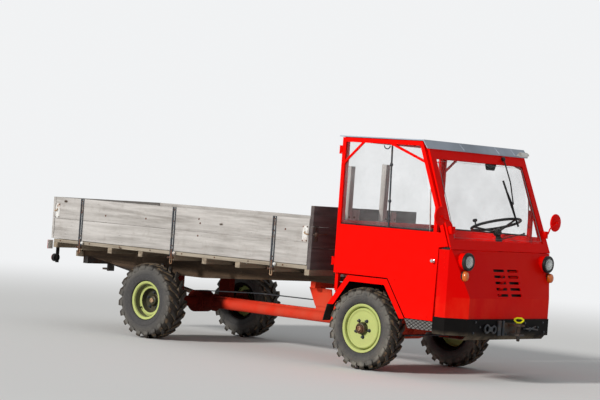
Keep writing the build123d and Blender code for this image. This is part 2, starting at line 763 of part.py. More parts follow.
with BuildPart() as windscreen_frame:
    with BuildSketch(screen_plane):
        with BuildLine():
            Polyline(*screen_outline(seam_z, screen_top_z, 0), close=True)
        make_face()
        with BuildLine():
            Polyline(*screen_outline(screen_glass_z0, screen_glass_z1, screen_band), close=True)
        make_face(mode=Mode.SUBTRACT)
    extrude(amount=-screen_sheet)
export(windscreen_frame, "windscreen_frame")

# Everything behind the windscreen's outer plane, which fittings on the frame are cut to
with BuildPart() as screen_slab_form:
    with BuildSketch(screen_plane):
        Rectangle(2 * length, 2 * roof_top_z)
    extrude(amount=-length)
screen_slab = screen_slab_form.part

# Cab glass: the windscreen and the back window
glass_sheet = 5
with BuildPart() as cab_glass:
    with BuildSketch(screen_plane.offset(-screen_sheet / 2)):
        with BuildLine():
            Polyline(*screen_outline(screen_glass_z0, screen_glass_z1, screen_band), close=True)
        make_face()
    extrude(amount=-glass_sheet)
    block((cab_back_x + 15, cab_back_x + 15 + glass_sheet), (-frame_in, frame_in),
          (sill_z + frame_tube, frame_top_z - frame_tube))
export(cab_glass, "cab_glass")

# Roof sheet with its slanted front facet
roof_back_x = cab_back_x - 30
roof_bend_x = screen_x(frame_top_z, pillar_back) + 2
roof_lip_x = screen_x(screen_top_z) + 12
roof_overhang = 5
with BuildPart() as roof:
    with BuildSketch(Plane.XZ):
        with BuildLine():
            Polyline(
                (roof_back_x, frame_top_z),
                (roof_back_x, roof_top_z),
                (roof_bend_x, roof_top_z),
                (roof_lip_x, screen_top_z + 4),
                (roof_lip_x - 8, screen_top_z + 4),
                (roof_bend_x, frame_top_z),
                close=True,
            )
        make_face()
    extrude(amount=cab_half + roof_overhang, both=True)
export(roof, "roof")


def nose_form(inset, low_z, high_z):
    """Closed form of the nose between two heights, drawn in from its outer skin by inset."""
    face_x = bumper_x - bumper_skin - inset
    side_half = cab_half - inset
    back_x = nose_back_x
    with BuildPart() as form:
        with BuildSketch(Plane.XY.offset(low_z)):
            with BuildLine():
                Polyline(
                    (back_x - inset, -side_half),
                    (chamfer_x, -side_half),
                    (face_x, -nose_half + inset / 2),
                    (face_x, nose_half - inset / 2),
                    (chamfer_x, side_half),
                    (back_x - inset, side_half),
                    close=True,
                )
            make_face()
        extrude(amount=high_z - low_z)
        with BuildSketch(Plane.XZ):
            with BuildLine():
                Polyline(
                    (face_x, knee_z),
                    (seam_x - inset, seam_z),
                    (seam_x - inset, seam_z + 10),
                    (face_x + 50, seam_z + 10),
                    (face_x + 50, knee_z),
                    close=True,
                )
            make_face()
        extrude(amount=cab_half + 50, both=True, mode=Mode.SUBTRACT)
    return form.part


# Nose: folded skin with chamfered corners, a knee line and two columns of vent slots
slot_width = 168
slot_height = 24
seam_gap = 7
nose_outer = nose_form(0, bumper_z1, seam_z - seam_gap)
nose_inner = nose_form(nose_skin, bumper_z1 - 5, seam_z)
SLOT_ROWS = [1006, 952, 897, 842, 787]
SLOT_YS = [-110, 108]
with BuildPart() as nose_panel:
    add(nose_outer)
    add(nose_inner, mode=Mode.SUBTRACT)
    for slot_z in SLOT_ROWS:
        for slot_y in SLOT_YS:
            block((seam_x, bumper_x), (slot_y - slot_width / 2, slot_y + slot_width / 2),
                  (slot_z - slot_height / 2, slot_z + slot_height / 2), mode=Mode.SUBTRACT)
export(nose_panel, "nose_panel")

# Bumper: black channel that follows the nose, and the guard plate under it
bumper_back_x = nose_back_x - 16
guard_z = 380
guard_plate = 6
guard_reach = 330
with BuildPart() as bumper:
    with BuildSketch(Plane.XY.offset(bumper_z0)):
        with BuildLine():
            Polyline(
                (bumper_back_x, -cab_half),
                (chamfer_x, -cab_half),
                (bumper_x, -nose_half),
                (bumper_x, nose_half),
                (chamfer_x, cab_half),
                (bumper_back_x, cab_half),
                (bumper_back_x, cab_half - bumper_skin),
                (chamfer_x - 4, cab_half - bumper_skin),
                (bumper_x - bumper_skin, nose_half - 4),
                (bumper_x - bumper_skin, -nose_half + 4),
                (chamfer_x - 4, -cab_half + bumper_skin),
                (bumper_back_x, -cab_half + bumper_skin),
                close=True,
            )
        make_face()
    extrude(amount=bumper_z1 - bumper_z0)
    with BuildSketch(Plane.XZ):
        with BuildLine():
            Polyline(
                (bumper_x - bumper_skin, bumper_z0 + 20),
                (bumper_x - 60, guard_z),
                (bumper_x - guard_reach, guard_z),
                (bumper_x - guard_reach, guard_z + guard_plate),
                (bumper_x - 63, guard_z + guard_plate),
                (bumper_x - bumper_skin, bumper_z0 + 30),
                close=True,
            )
        make_face()
    extrude(amount=nose_half - 6, both=True)
    for side in (1, -1):
        hanger_y = sorted((side * (rail_y - rail_half_width), side * (rail_y + rail_half_width)))
        hanger_x = (bumper_x - guard_reach, bumper_x - guard_reach + guard_plate)
        block(hanger_x, hanger_y, (guard_z, rail_z0 - seat_gap))
export(bumper, "bumper")

# Front tow jaw on the bumper
tow_z = 481
tow_half = 42
tow_gap_half = 34
tow_cheek = 18
tow_plate = 14
tow_pin_radius = 16
tow_pin_x = bumper_x + jaw_reach - 36
tow_cheek_top = tow_z + tow_gap_half + tow_cheek
tow_bolt_plate = 95
with BuildPart() as tow_jaw:
    block((bumper_x, bumper_x + tow_plate), (-tow_bolt_plate, tow_bolt_plate), (tow_z - 60, tow_z + 60))
    for cheek in (1, -1):
        cheek_z = sorted((tow_z + cheek * tow_gap_half, tow_z + cheek * (tow_gap_half + tow_cheek)))
        block((bumper_x + tow_plate, bumper_x + jaw_reach), (-tow_half, tow_half), cheek_z)
    rod((tow_pin_x, 0, tow_z - 80), (tow_pin_x, 0, tow_z + 80), tow_pin_radius + seat_gap, mode=Mode.SUBTRACT)
export(tow_jaw, "tow_jaw")

# Drop pin of the front jaw with its flat ring handle
pin_head = 10
ring_rod = 6
ring_half = 40
ring_rise = 24
with BuildPart() as tow_pin:
    pin_top = (tow_pin_x, 0, tow_cheek_top + pin_head)
    rod((tow_pin_x, 0, guard_z), pin_top, tow_pin_radius)
    rod((tow_pin_x, 0, tow_cheek_top + seat_gap), pin_top, tow_pin_radius + 6)
    ring_z = tow_cheek_top + pin_head + ring_rise
    low, high = ring_z - ring_rise, ring_z + ring_rise
    corners = [
        (-ring_half / 2, low),
        (ring_half / 2, low),
        (ring_half, ring_z),
        (ring_half / 2, high),
        (-ring_half / 2, high),
        (-ring_half, ring_z),
    ]
    for (y0, z0), (y1, z1) in zip(corners, corners[1:] + corners[:1]):
        rod((tow_pin_x, y0, z0), (tow_pin_x, y1, z1), ring_rod)
        with Locations((tow_pin_x, y1, z1)):
            Sphere(ring_rod)
export(tow_pin, "tow_pin")

# Footboards of checker plate under the doors
step_top_z = 522
step_front_x = nose_back_x - 20
step_back_x = slope_foot_x + 7
step_outline = [
    (step_back_x - 5, step_top_z),
    (step_front_x, step_top_z),
    (step_front_x, step_top_z - 82),
    (step_back_x + 40, step_top_z - 82),
]
with BuildPart() as steps:
    for side in (1, -1):
        with BuildSketch(Plane.XZ.offset(-side * (cab_half - 2))):
            with BuildLine():
                Polyline(*step_outline, close=True)
            make_face()
        extrude(amount=side * 5)
        plate_y = sorted((side * (cab_half - 2), side * (cab_inner - 20)))
        web_y = sorted((side * (cab_inner - 20), side * (cab_inner - 15)))
        block((step_back_x, step_front_x), plate_y, (step_top_z - 6, step_top_z - 1))
        block((step_back_x, step_front_x), web_y, (step_top_z - 6, floor_z - deck_sheet))
export(steps, "steps")

# Lamps on the nose: round headlamps on pods with wider rings, and domed indicators below them
lamp_y = nose_half + 4
lamp_z = 1078
lamp_pod_radius = 66
lamp_ring_radius = 78
lamp_ring_length = 26
lamp_face_x = bumper_x - 36
indicator_y = nose_half + 46
indicator_z = 950
indicator_radius = 32
indicator_x = bumper_x - 20
with BuildPart() as front_lamps:
    for side in (1, -1):
        rod((lamp_face_x - 110, side * lamp_y, lamp_z), (lamp_face_x, side * lamp_y, lamp_z), lamp_pod_radius)
        rod((lamp_face_x - lamp_ring_length, side * lamp_y, lamp_z),
            (lamp_face_x, side * lamp_y, lamp_z), lamp_ring_radius)
        rod((indicator_x - 80, side * indicator_y, indicator_z),
            (indicator_x, side * indicator_y, indicator_z), indicator_radius)
    add(nose_outer, mode=Mode.SUBTRACT)
export(front_lamps, "front_lamps")

# Mirrors: round heads on bent arms from clamps on the windscreen frame
mirror_x = seam_x - 45
mirror_y = cab_half + 125
mirror_z = 1470
mirror_radius = 85
mirror_half_depth = 10
mirror_arm_radius = 7
clamp_y = cab_half - 52
clamp_z = 1350
with BuildPart() as mirrors:
    for side in (1, -1):
        clamp_x = screen_x(clamp_z)
        elbow = (clamp_x + 46, side * (clamp_y + 20), clamp_z + 10)
        knee = (clamp_x + 46, side * (clamp_y + 48), clamp_z + 66)
        block((clamp_x - 20, clamp_x + 46), sorted((side * (clamp_y - 20), side * (clamp_y + 20))),
              (clamp_z - 34, clamp_z + 34))
        rod(elbow, knee, mirror_arm_radius)
        with Locations(knee):
            Sphere(mirror_arm_radius)
        rod(knee, (mirror_x, side * mirror_y, mirror_z), mirror_arm_radius)
        rod((mirror_x - mirror_half_depth, side * mirror_y, mirror_z),
            (mirror_x + mirror_half_depth, side * mirror_y, mirror_z), mirror_radius)
    add(screen_slab, mode=Mode.SUBTRACT)
export(mirrors, "mirrors")

# Bench seat: cushion box and back
seat_half = cab_inner - 60
with BuildPart() as bench_seat:
    seat_y = (-seat_half, seat_half)
    block((cab_back_x + 40, front_axle_x + 190), seat_y, (deck_z, deck_z + 160))
    block((cab_back_x + 40, cab_back_x + 130), seat_y, (deck_z + 160.3, sill_z + 20))
export(bench_seat, "bench_seat")

# Steering column, wheel and its axis
wheel_centre = Vector(front_axle_x + 575, 432, 1415)
column_foot = Vector(front_axle_x + 835, 432, floor_z)
column_dir = (wheel_centre - column_foot).normalized()
wheel_hub_drop = 95
with BuildPart() as steering_column:
    column_top = wheel_centre - column_dir * (wheel_hub_drop + seat_gap)
    rod(column_foot - column_dir * 30, column_top, 24)
    foot_x = (column_foot.X - 100, column_foot.X + 100)
    block(foot_x, (column_foot.Y - 50, column_foot.Y + 50), (floor_z - 100, floor_z), mode=Mode.SUBTRACT)
export(steering_column, "steering_column")

steering_ring_radius = 235
with BuildPart() as steering_wheel:
    wheel_plane_up = Plane(origin=wheel_centre, z_dir=column_dir)
    with BuildSketch(Plane(origin=wheel_centre, x_dir=wheel_plane_up.x_dir, z_dir=wheel_plane_up.y_dir)):
        with Locations((steering_ring_radius, 0)):
            Circle(13)
    revolve(axis=Axis(wheel_centre, column_dir))
    hub_low = wheel_centre - column_dir * wheel_hub_drop
    rod(hub_low, hub_low + column_dir * 45, 30)
    for turn in (90, 210, 330):
        spoke_end = wheel_plane_up.from_local_coords(Vector(steering_ring_radius, 0, 0).rotate(Axis.Z, turn))
        rod(hub_low + column_dir * 25, spoke_end, 8)
export(steering_wheel, "steering_wheel")

# Doors: one full side each, hung on the rear edge
door_back = cab_back_x + moving_gap
door_low_front_x = bumper_back_x - moving_gap
door_outline = [
    (door_back, deck_z + 12),
    (deck_front_x + 4, deck_z + 12),
    (slope_foot_x + 10, 528),
    (door_low_front_x, 528),
    (nose_back_x - 8, seam_z + 8),
    (screen_x(seam_z + 22, 26), seam_z + 22),
    (screen_x(frame_top_z - 6, 26), frame_top_z - 6),
    (door_back, frame_top_z - 6),
]
door_frame = 40
brace_half = 11
brace_depth = 11
window_low_z = sill_z
window_outline = [
    (door_back + door_frame, window_low_z),
    (screen_x(window_low_z, 26 + door_frame), window_low_z),
    (screen_x(frame_top_z - 6 - door_frame, 26 + door_frame), frame_top_z - 6 - door_frame),
    (door_back + door_frame, frame_top_z - 6 - door_frame),
]
glass_front_x = inner_post_x[0] - 7
glass_outline = [
    window_outline[0],
    (glass_front_x, window_low_z),
    (screen_x(frame_top_z - 180, 26 + door_frame), frame_top_z - 180),
    window_outline[2],
    window_outline[3],
]
brace_back = door_back + door_frame / 2
brace_top = frame_top_z - 26
BRACES = [
    ((brace_back, brace_top - 225), (brace_back + 245, brace_top)),
    ((front_axle_x + 172, brace_top), (screen_x(brace_top - 168, 46), brace_top - 168)),
]


def strip(start, end, half_width):
    """Corners of a straight strip between two points of a sketch."""
    run = Vector(end[0] - start[0], end[1] - start[1])
    across = Vector(-run.Y, run.X).normalized() * half_width
    return [
        (start[0] + across.X, start[1] + across.Y),
        (end[0] + across.X, end[1] + across.Y),
        (end[0] - across.X, end[1] - across.Y),
        (start[0] - across.X, start[1] - across.Y),
    ]


for name, side in (("left", 1), ("right", -1)):
    with BuildPart() as door:
        with BuildSketch(Plane.XZ.offset(-side * cab_half)):
            with BuildLine():
                Polyline(*door_outline, close=True)
            make_face()
            with BuildLine():
                Polyline(*window_outline, close=True)
            make_face(mode=Mode.SUBTRACT)
        extrude(amount=side * door_thickness)
        for brace_start, brace_end in BRACES:
            with BuildSketch(Plane.XZ.offset(-side * cab_half)):
                with BuildLine():
                    Polyline(*strip(brace_start, brace_end, brace_half), close=True)
                make_face()
            extrude(amount=side * brace_depth)
        for hinge_height in DOOR_HINGE_ZS:
            barrel_low = (door_hinge_x, side * door_hinge_y, hinge_height - door_barrel_half)
            barrel_high = (door_hinge_x, side * door_hinge_y, hinge_height + door_barrel_half)
            leaf_y = sorted((side * (cab_half - 6), side * (cab_half + 4)))
            leaf_z = (hinge_height - door_barrel_half, hinge_height + door_barrel_half)
            block((door_hinge_x, door_back), leaf_y, leaf_z)
            rod(barrel_low, barrel_high, door_barrel_radius)
            rod(barrel_low, barrel_high, door_pin_radius + seat_gap, mode=Mode.SUBTRACT)
    export(door, "door_" + name)

    with BuildPart() as door_glass:
        with BuildSketch(Plane.XZ.offset(-side * (cab_half - door_thickness / 2))):
            with BuildLine():
                Polyline(*glass_outline, close=True)
            make_face()
        extrude(amount=side * glass_sheet)
    export(door_glass, "door_glass_" + name)
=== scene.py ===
"""Looks of a farm motor transporter: finishes, fittings and trim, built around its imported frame.

Lengths are in metres in the frame's own axes: X forward, Y to the vehicle's left, Z up from the floor.
"""

from __future__ import annotations

import json
import logging
import math
from collections.abc import Callable, Iterator, Sequence
from contextlib import contextmanager
from dataclasses import dataclass
from enum import Enum
from functools import cached_property
from math import cos, pi, radians, sin

import bmesh
import bpy
from mathutils import Matrix, Vector

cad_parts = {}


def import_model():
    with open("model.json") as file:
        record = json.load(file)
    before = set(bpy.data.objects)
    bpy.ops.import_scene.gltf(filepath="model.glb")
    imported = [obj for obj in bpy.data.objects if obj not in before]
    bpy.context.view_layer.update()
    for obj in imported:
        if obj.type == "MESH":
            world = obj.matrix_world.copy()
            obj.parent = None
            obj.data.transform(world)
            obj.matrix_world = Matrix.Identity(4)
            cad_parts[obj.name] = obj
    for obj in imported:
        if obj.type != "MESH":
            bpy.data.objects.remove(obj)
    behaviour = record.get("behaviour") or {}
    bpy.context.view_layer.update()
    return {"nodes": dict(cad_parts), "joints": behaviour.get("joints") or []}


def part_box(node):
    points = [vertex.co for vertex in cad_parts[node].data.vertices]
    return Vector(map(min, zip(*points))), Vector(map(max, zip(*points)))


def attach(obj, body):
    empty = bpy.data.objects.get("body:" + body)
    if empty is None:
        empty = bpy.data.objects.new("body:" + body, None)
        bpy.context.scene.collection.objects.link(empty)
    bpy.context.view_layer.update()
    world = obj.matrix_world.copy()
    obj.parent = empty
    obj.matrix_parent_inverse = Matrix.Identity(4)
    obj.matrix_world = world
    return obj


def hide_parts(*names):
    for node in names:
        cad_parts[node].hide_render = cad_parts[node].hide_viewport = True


log = logging.getLogger("transporter")

Piece = bpy.types.Object
Material = bpy.types.Material
NodeTree = bpy.types.NodeTree
Socket = bpy.types.NodeSocket
Colour = tuple[int, int, int]
Point = tuple[float, float, float]
Outline = Sequence[tuple[float, float]]
Value = float | Sequence[float] | Socket
Inputs = dict[str | int, Value]

RUST = (120, 66, 36)
ROAD_DUST = (158, 142, 120)
CHASSIS = "chassis"


class Side(Enum):
    """Sides of the vehicle, with the sign of Y on each."""

    LEFT = 1
    RIGHT = -1

    @property
    def word(self) -> str:
        """Side's name as it stands in the names of nodes and bodies."""
        return self.name.lower()


class Grain(Enum):
    """Directions in which the fibres of a timber run, as a stretch of the pattern."""

    LENGTHWISE = (1.0, 16.0, 16.0)
    CROSSWISE = (16.0, 1.0, 16.0)
    UPRIGHT = (16.0, 16.0, 1.0)


class Axle(Enum):
    """The two axles, by their words in the names."""

    FRONT = "front"
    REAR = "rear"


# Modelling by hand: starting pieces, selecting in code and finishing


def take(piece: Piece) -> None:
    """Make one piece the only selected and the active one.

    Args:
        piece: The piece that the next operators act on.
    """
    bpy.ops.object.select_all(action="DESELECT")
    piece.select_set(True)
    bpy.context.view_layer.objects.active = piece


def named(piece: Piece, name: str) -> Piece:
    """Give a piece and its mesh one name."""
    piece.name = piece.data.name = name
    return piece


def settle(name: str) -> Piece:
    """Name the piece just added and put its place into its mesh, so that its object stands at the origin."""
    bpy.ops.object.transform_apply()
    return named(bpy.context.active_object, name)


def smoothed(piece: Piece, degrees: float) -> Piece:
    """Shade a piece smoothly but for its sharper edges.

    Args:
        piece: The piece.
        degrees: The angle from which an edge stays sharp.

    Returns:
        The same piece.
    """
    take(piece)
    bpy.ops.object.shade_smooth_by_angle(angle=radians(degrees))
    return piece


def pull(offset: Sequence[float]) -> None:
    """Extrude what is selected in edit mode, and shift it."""
    bpy.ops.mesh.extrude_region_move(TRANSFORM_OT_translate={"value": offset})


@contextmanager
def editing(piece: Piece, mode: str = "FACE") -> Iterator[None]:
    """Keep a piece in edit mode for as long as the block lasts.

    Args:
        piece: The piece to edit.
        mode: What is selected: VERT, EDGE or FACE.

    Yields:
        Nothing.
    """
    take(piece)
    bpy.ops.object.mode_set(mode="EDIT")
    bpy.ops.mesh.select_mode(type=mode)
    bpy.ops.mesh.select_all(action="SELECT")
    try:
        yield
    finally:
        bpy.ops.object.mode_set(mode="OBJECT")


def pick_faces(piece: Piece, wanted: Callable[[Vector, Vector], bool]) -> None:
    """Select faces in edit mode by their place.

    Args:
        piece: The piece in edit mode.
        wanted: Test of a face's middle and normal.
    """
    mesh = bmesh.from_edit_mesh(piece.data)
    bpy.ops.mesh.select_all(action="DESELECT")
    for face in mesh.faces:
        if wanted(face.calc_center_median(), face.normal):
            face.select_set(True)
    bmesh.update_edit_mesh(piece.data)


def pick_edges(piece: Piece, axis: int) -> None:
    """Select the edges in edit mode that run along one axis.

    Args:
        piece: The piece in edit mode.
        axis: The axis, from 0 to 2.
    """
    mesh = bmesh.from_edit_mesh(piece.data)
    bpy.ops.mesh.select_all(action="DESELECT")
    for edge in mesh.edges:
        start, end = (corner.co for corner in edge.verts)
        if abs((end - start).normalized()[axis]) > 0.9:
            edge.select_set(True)
    bmesh.update_edit_mesh(piece.data)


def block(name: str, low: Sequence[float], high: Sequence[float]) -> Piece:
    """Start a piece from a cube between two corners.

    Args:
        name: The piece's name.
        low: Lowest corner.
        high: Highest corner.

    Returns:
        The started piece.
    """
    middle = [(a + b) / 2 for a, b in zip(low, high)]
    size = [b - a for a, b in zip(low, high)]
    bpy.ops.mesh.primitive_cube_add(size=1, location=middle, scale=size)
    return settle(name)


def span(side: Side, near: float, far: float) -> tuple[float, float]:
    """Low and high Y of a stretch between two distances from the middle plane, on one side."""
    low, high = sorted((side.value * near, side.value * far))
    return low, high


def soften(piece: Piece, width: float, segments: int = 2) -> Piece:
    """Round the sharp edges of a piece and shade it smoothly.

    Args:
        piece: The piece.
        width: Width of the rounding.
        segments: Steps across the rounding.

    Returns:
        The same piece.
    """
    take(piece)
    rounding = piece.modifiers.new("rounded_edges", "BEVEL")
    rounding.width = width
    rounding.segments = segments
    rounding.limit_method = "ANGLE"
    rounding.angle_limit = radians(32)
    bpy.ops.object.modifier_apply(modifier=rounding.name)
    return smoothed(piece, 38)


def wire(name: str, points: Sequence[Sequence[float]], closed: bool = False) -> Piece:
    """Draw a line of edges by extruding one point from place to place.

    Args:
        name: The piece's name.
        points: Places of the line's points.
        closed: Whether the line runs back to its first point.

    Returns:
        The line as a piece of edges.
    """
    path = [Vector(point) for point in points]
    if closed:
        path.append(path[0])
    bpy.ops.mesh.primitive_plane_add(size=0.01, location=path[0])
    piece = bpy.context.active_object
    with editing(piece, "VERT"):
        bpy.ops.mesh.merge(type="CENTER")
        for before, after in zip(path, path[1:]):
            pull(after - before)
        bpy.ops.mesh.select_all(action="SELECT")
        bpy.ops.mesh.remove_doubles(threshold=1e-6)
    take(piece)
    return settle(name)


def moved(piece: Piece, place: Matrix) -> Piece:
    """Carry a finished shape to its place, which goes into its mesh.

    Args:
        piece: The piece.
        place: Where it goes.

    Returns:
        The same piece.
    """
    take(piece)
    piece.matrix_world = place @ piece.matrix_world
    bpy.ops.object.transform_apply()
    return piece


def copied(piece: Piece, name: str, place: Matrix) -> Piece:
    """Copy a piece with a mesh of its own and carry the copy to its place.

    Args:
        piece: The model.
        name: The copy's name.
        place: Where the copy goes, seen from the model.

    Returns:
        The copy.
    """
    take(piece)
    bpy.ops.object.duplicate()
    return moved(named(bpy.context.active_object, name), place)


def joined(name: str, parts: Sequence[Piece]) -> Piece:
    """Join several shapes into one piece.

    Args:
        name: The piece's name.
        parts: The shapes, which are used up.

    Returns:
        The joined piece.
    """
    take(parts[0])
    for part in parts[1:]:
        part.select_set(True)
    if len(parts) > 1:
        bpy.ops.object.join()
    return named(bpy.context.active_object, name)


def scattered(name: str, model: Piece, places: Sequence[Matrix]) -> Piece:
    """Copy a small model at the origin to many places and join the copies; the model itself is used up."""
    copies = [copied(model, f"{name}_{index}", place) for index, place in enumerate(places[1:])]
    return joined(name, [moved(model, places[0]), *copies])


def spun(name: str, outline: Outline, steps: int = 48) -> Piece:
    """Turn a closed outline once round the Z axis.

    Args:
        name: The piece's name.
        outline: Points as (distance along Z, radius).
        steps: Steps round the axis.

    Returns:
        The turned piece, closed and facing outwards.
    """
    piece = wire(name, [(radius, 0.0, along) for along, radius in outline], closed=True)
    with editing(piece, "VERT"):
        bpy.ops.mesh.spin(steps=steps, angle=2 * pi, center=(0, 0, 0), axis=(0, 0, 1))
        bpy.ops.mesh.select_all(action="SELECT")
        bpy.ops.mesh.remove_doubles(threshold=1e-5)
        bpy.ops.mesh.dissolve_degenerate(threshold=1e-6)
        bpy.ops.mesh.normals_make_consistent()
    return smoothed(piece, 34)


def eased(points: Sequence[Sequence[float]], radius: float, steps: int = 5) -> list[Vector]:
    """Round the inner corners of a line.

    Args:
        points: The line's corners.
        radius: How far from a corner its bend starts.
        steps: Points in each bend.

    Returns:
        The points of the rounded line.
    """
    corners = [Vector(point) for point in points]
    line = [corners[0]]
    for before, corner, after in zip(corners, corners[1:], corners[2:]):
        start = corner + (before - corner).normalized() * min(radius, (before - corner).length * 0.45)
        end = corner + (after - corner).normalized() * min(radius, (after - corner).length * 0.45)
        for index in range(steps + 1):
            share = index / steps
            line.append(start.lerp(corner, share).lerp(corner.lerp(end, share), share))
    return [*line, corners[-1]]


def tube(name: str, points: Sequence[Sequence[float]], radius: float, closed: bool = False) -> Piece:
    """Run a round bar along a line.

    Args:
        name: The piece's name.
        points: The line's points.
        radius: The bar's radius.
        closed: Whether the bar runs back to its start.

    Returns:
        The bar.
    """
    take(wire(name, points, closed))
    bpy.ops.object.convert(target="CURVE")
    curve = bpy.context.active_object.data
    curve.bevel_depth = radius
    curve.bevel_resolution = 3
    curve.use_fill_caps = not closed
    bpy.ops.object.convert(target="MESH")
    piece = named(bpy.context.active_object, name)
    with editing(piece, "VERT"):
        bpy.ops.mesh.remove_doubles(threshold=1e-5)
        bpy.ops.mesh.normals_make_consistent()
    return smoothed(piece, 45)


def plate(name: str, corners: Sequence[Sequence[float]], thickness: Sequence[float]) -> Piece:
    """Cut a flat plate from its corners and give it a thickness.

    Args:
        name: The piece's name.
        corners: Corners of one face, in order.
        thickness: From that face to the opposite one.

    Returns:
        The plate.
    """
    piece = wire(name, corners, closed=True)
    with editing(piece, "VERT"):
        bpy.ops.mesh.edge_face_add()
        pull(thickness)
        bpy.ops.mesh.select_all(action="SELECT")
        bpy.ops.mesh.normals_make_consistent()
    return piece


def facing(direction: Sequence[float], middle: Sequence[float]) -> Matrix:
    """Place of a model whose Z axis is to point a given way from a given middle."""
    turn = Vector(direction).to_track_quat("Z", "Y").to_matrix().to_4x4()
    return Matrix.Translation(Vector(middle)) @ turn


def bolt_head(radius: float, height: float) -> Piece:
    """Six-sided head on a washer, standing on the origin.

    Args:
        radius: Radius over the head's corners.
        height: Height of the head with its washer.

    Returns:
        The model.
    """
    washer = height * 0.3
    bpy.ops.mesh.primitive_cylinder_add(vertices=12, radius=radius * 1.3, depth=washer, location=(0, 0, washer / 2))
    piece = settle("bolt_head")
    with editing(piece):
        pick_faces(piece, lambda middle, normal: normal.z > 0.9)
        bpy.ops.mesh.inset(thickness=radius * 0.35)
        pull((0, 0, height * 0.7))
        bpy.ops.mesh.inset(thickness=radius * 0.16, depth=height * 0.08)
    return smoothed(piece, 35)


def round_nail(radius: float, height: float) -> Piece:
    """Low domed head of some radius and height, standing on the origin."""
    outline = [(0, 0), (0, radius), (height * 0.5, radius * 0.92), (height, radius * 0.5), (height, 0)]
    return spun("round_nail", outline, 10)


# Finishes


def linear(colour: Colour) -> tuple[float, float, float, float]:
    """Linear colour, as shaders take it, of a paint whose screen values are known.

    Args:
        colour: Red, green and blue from 0 to 255.

    Returns:
        The colour with its opacity.
    """
    shares = [value / 255 for value in colour]
    red, green, blue = (s / 12.92 if s <= 0.04045 else ((s + 0.055) / 1.055) ** 2.4 for s in shares)
    return (red, green, blue, 1.0)


def feed(target: Socket, value: Value) -> None:
    """Give an input its value.

    Args:
        target: The input.
        value: Another node's output, a screen colour or a plain value.
    """
    if isinstance(value, Socket):
        target.id_data.links.new(value, target)
    elif target.type == "RGBA" and len(value) == 3:
        target.default_value = linear(value)
    else:
        target.default_value = value


def bare_tree(owner: Material | bpy.types.World) -> NodeTree:
    """Empty the nodes of a new material or world.

    Args:
        owner: The material or world.

    Returns:
        Its nodes.
    """
    owner.use_nodes = True
    owner.node_tree.nodes.clear()
    return owner.node_tree


def add_node(tree: NodeTree, kind: str, inputs: Inputs | None = None, **settings: str) -> bpy.types.Node:
    """Add a node.

    Args:
        tree: The nodes that it joins.
        kind: Its type, without the words that all shader nodes share.
        inputs: Values by the input's name or number.
        **settings: The node's own settings.

    Returns:
        The node.
    """
    node = tree.nodes.new(f"ShaderNode{kind}")
    for name, setting in settings.items():
        setattr(node, name, setting)
    for key, value in (inputs or {}).items():
        feed(node.inputs[key], value)
    return node


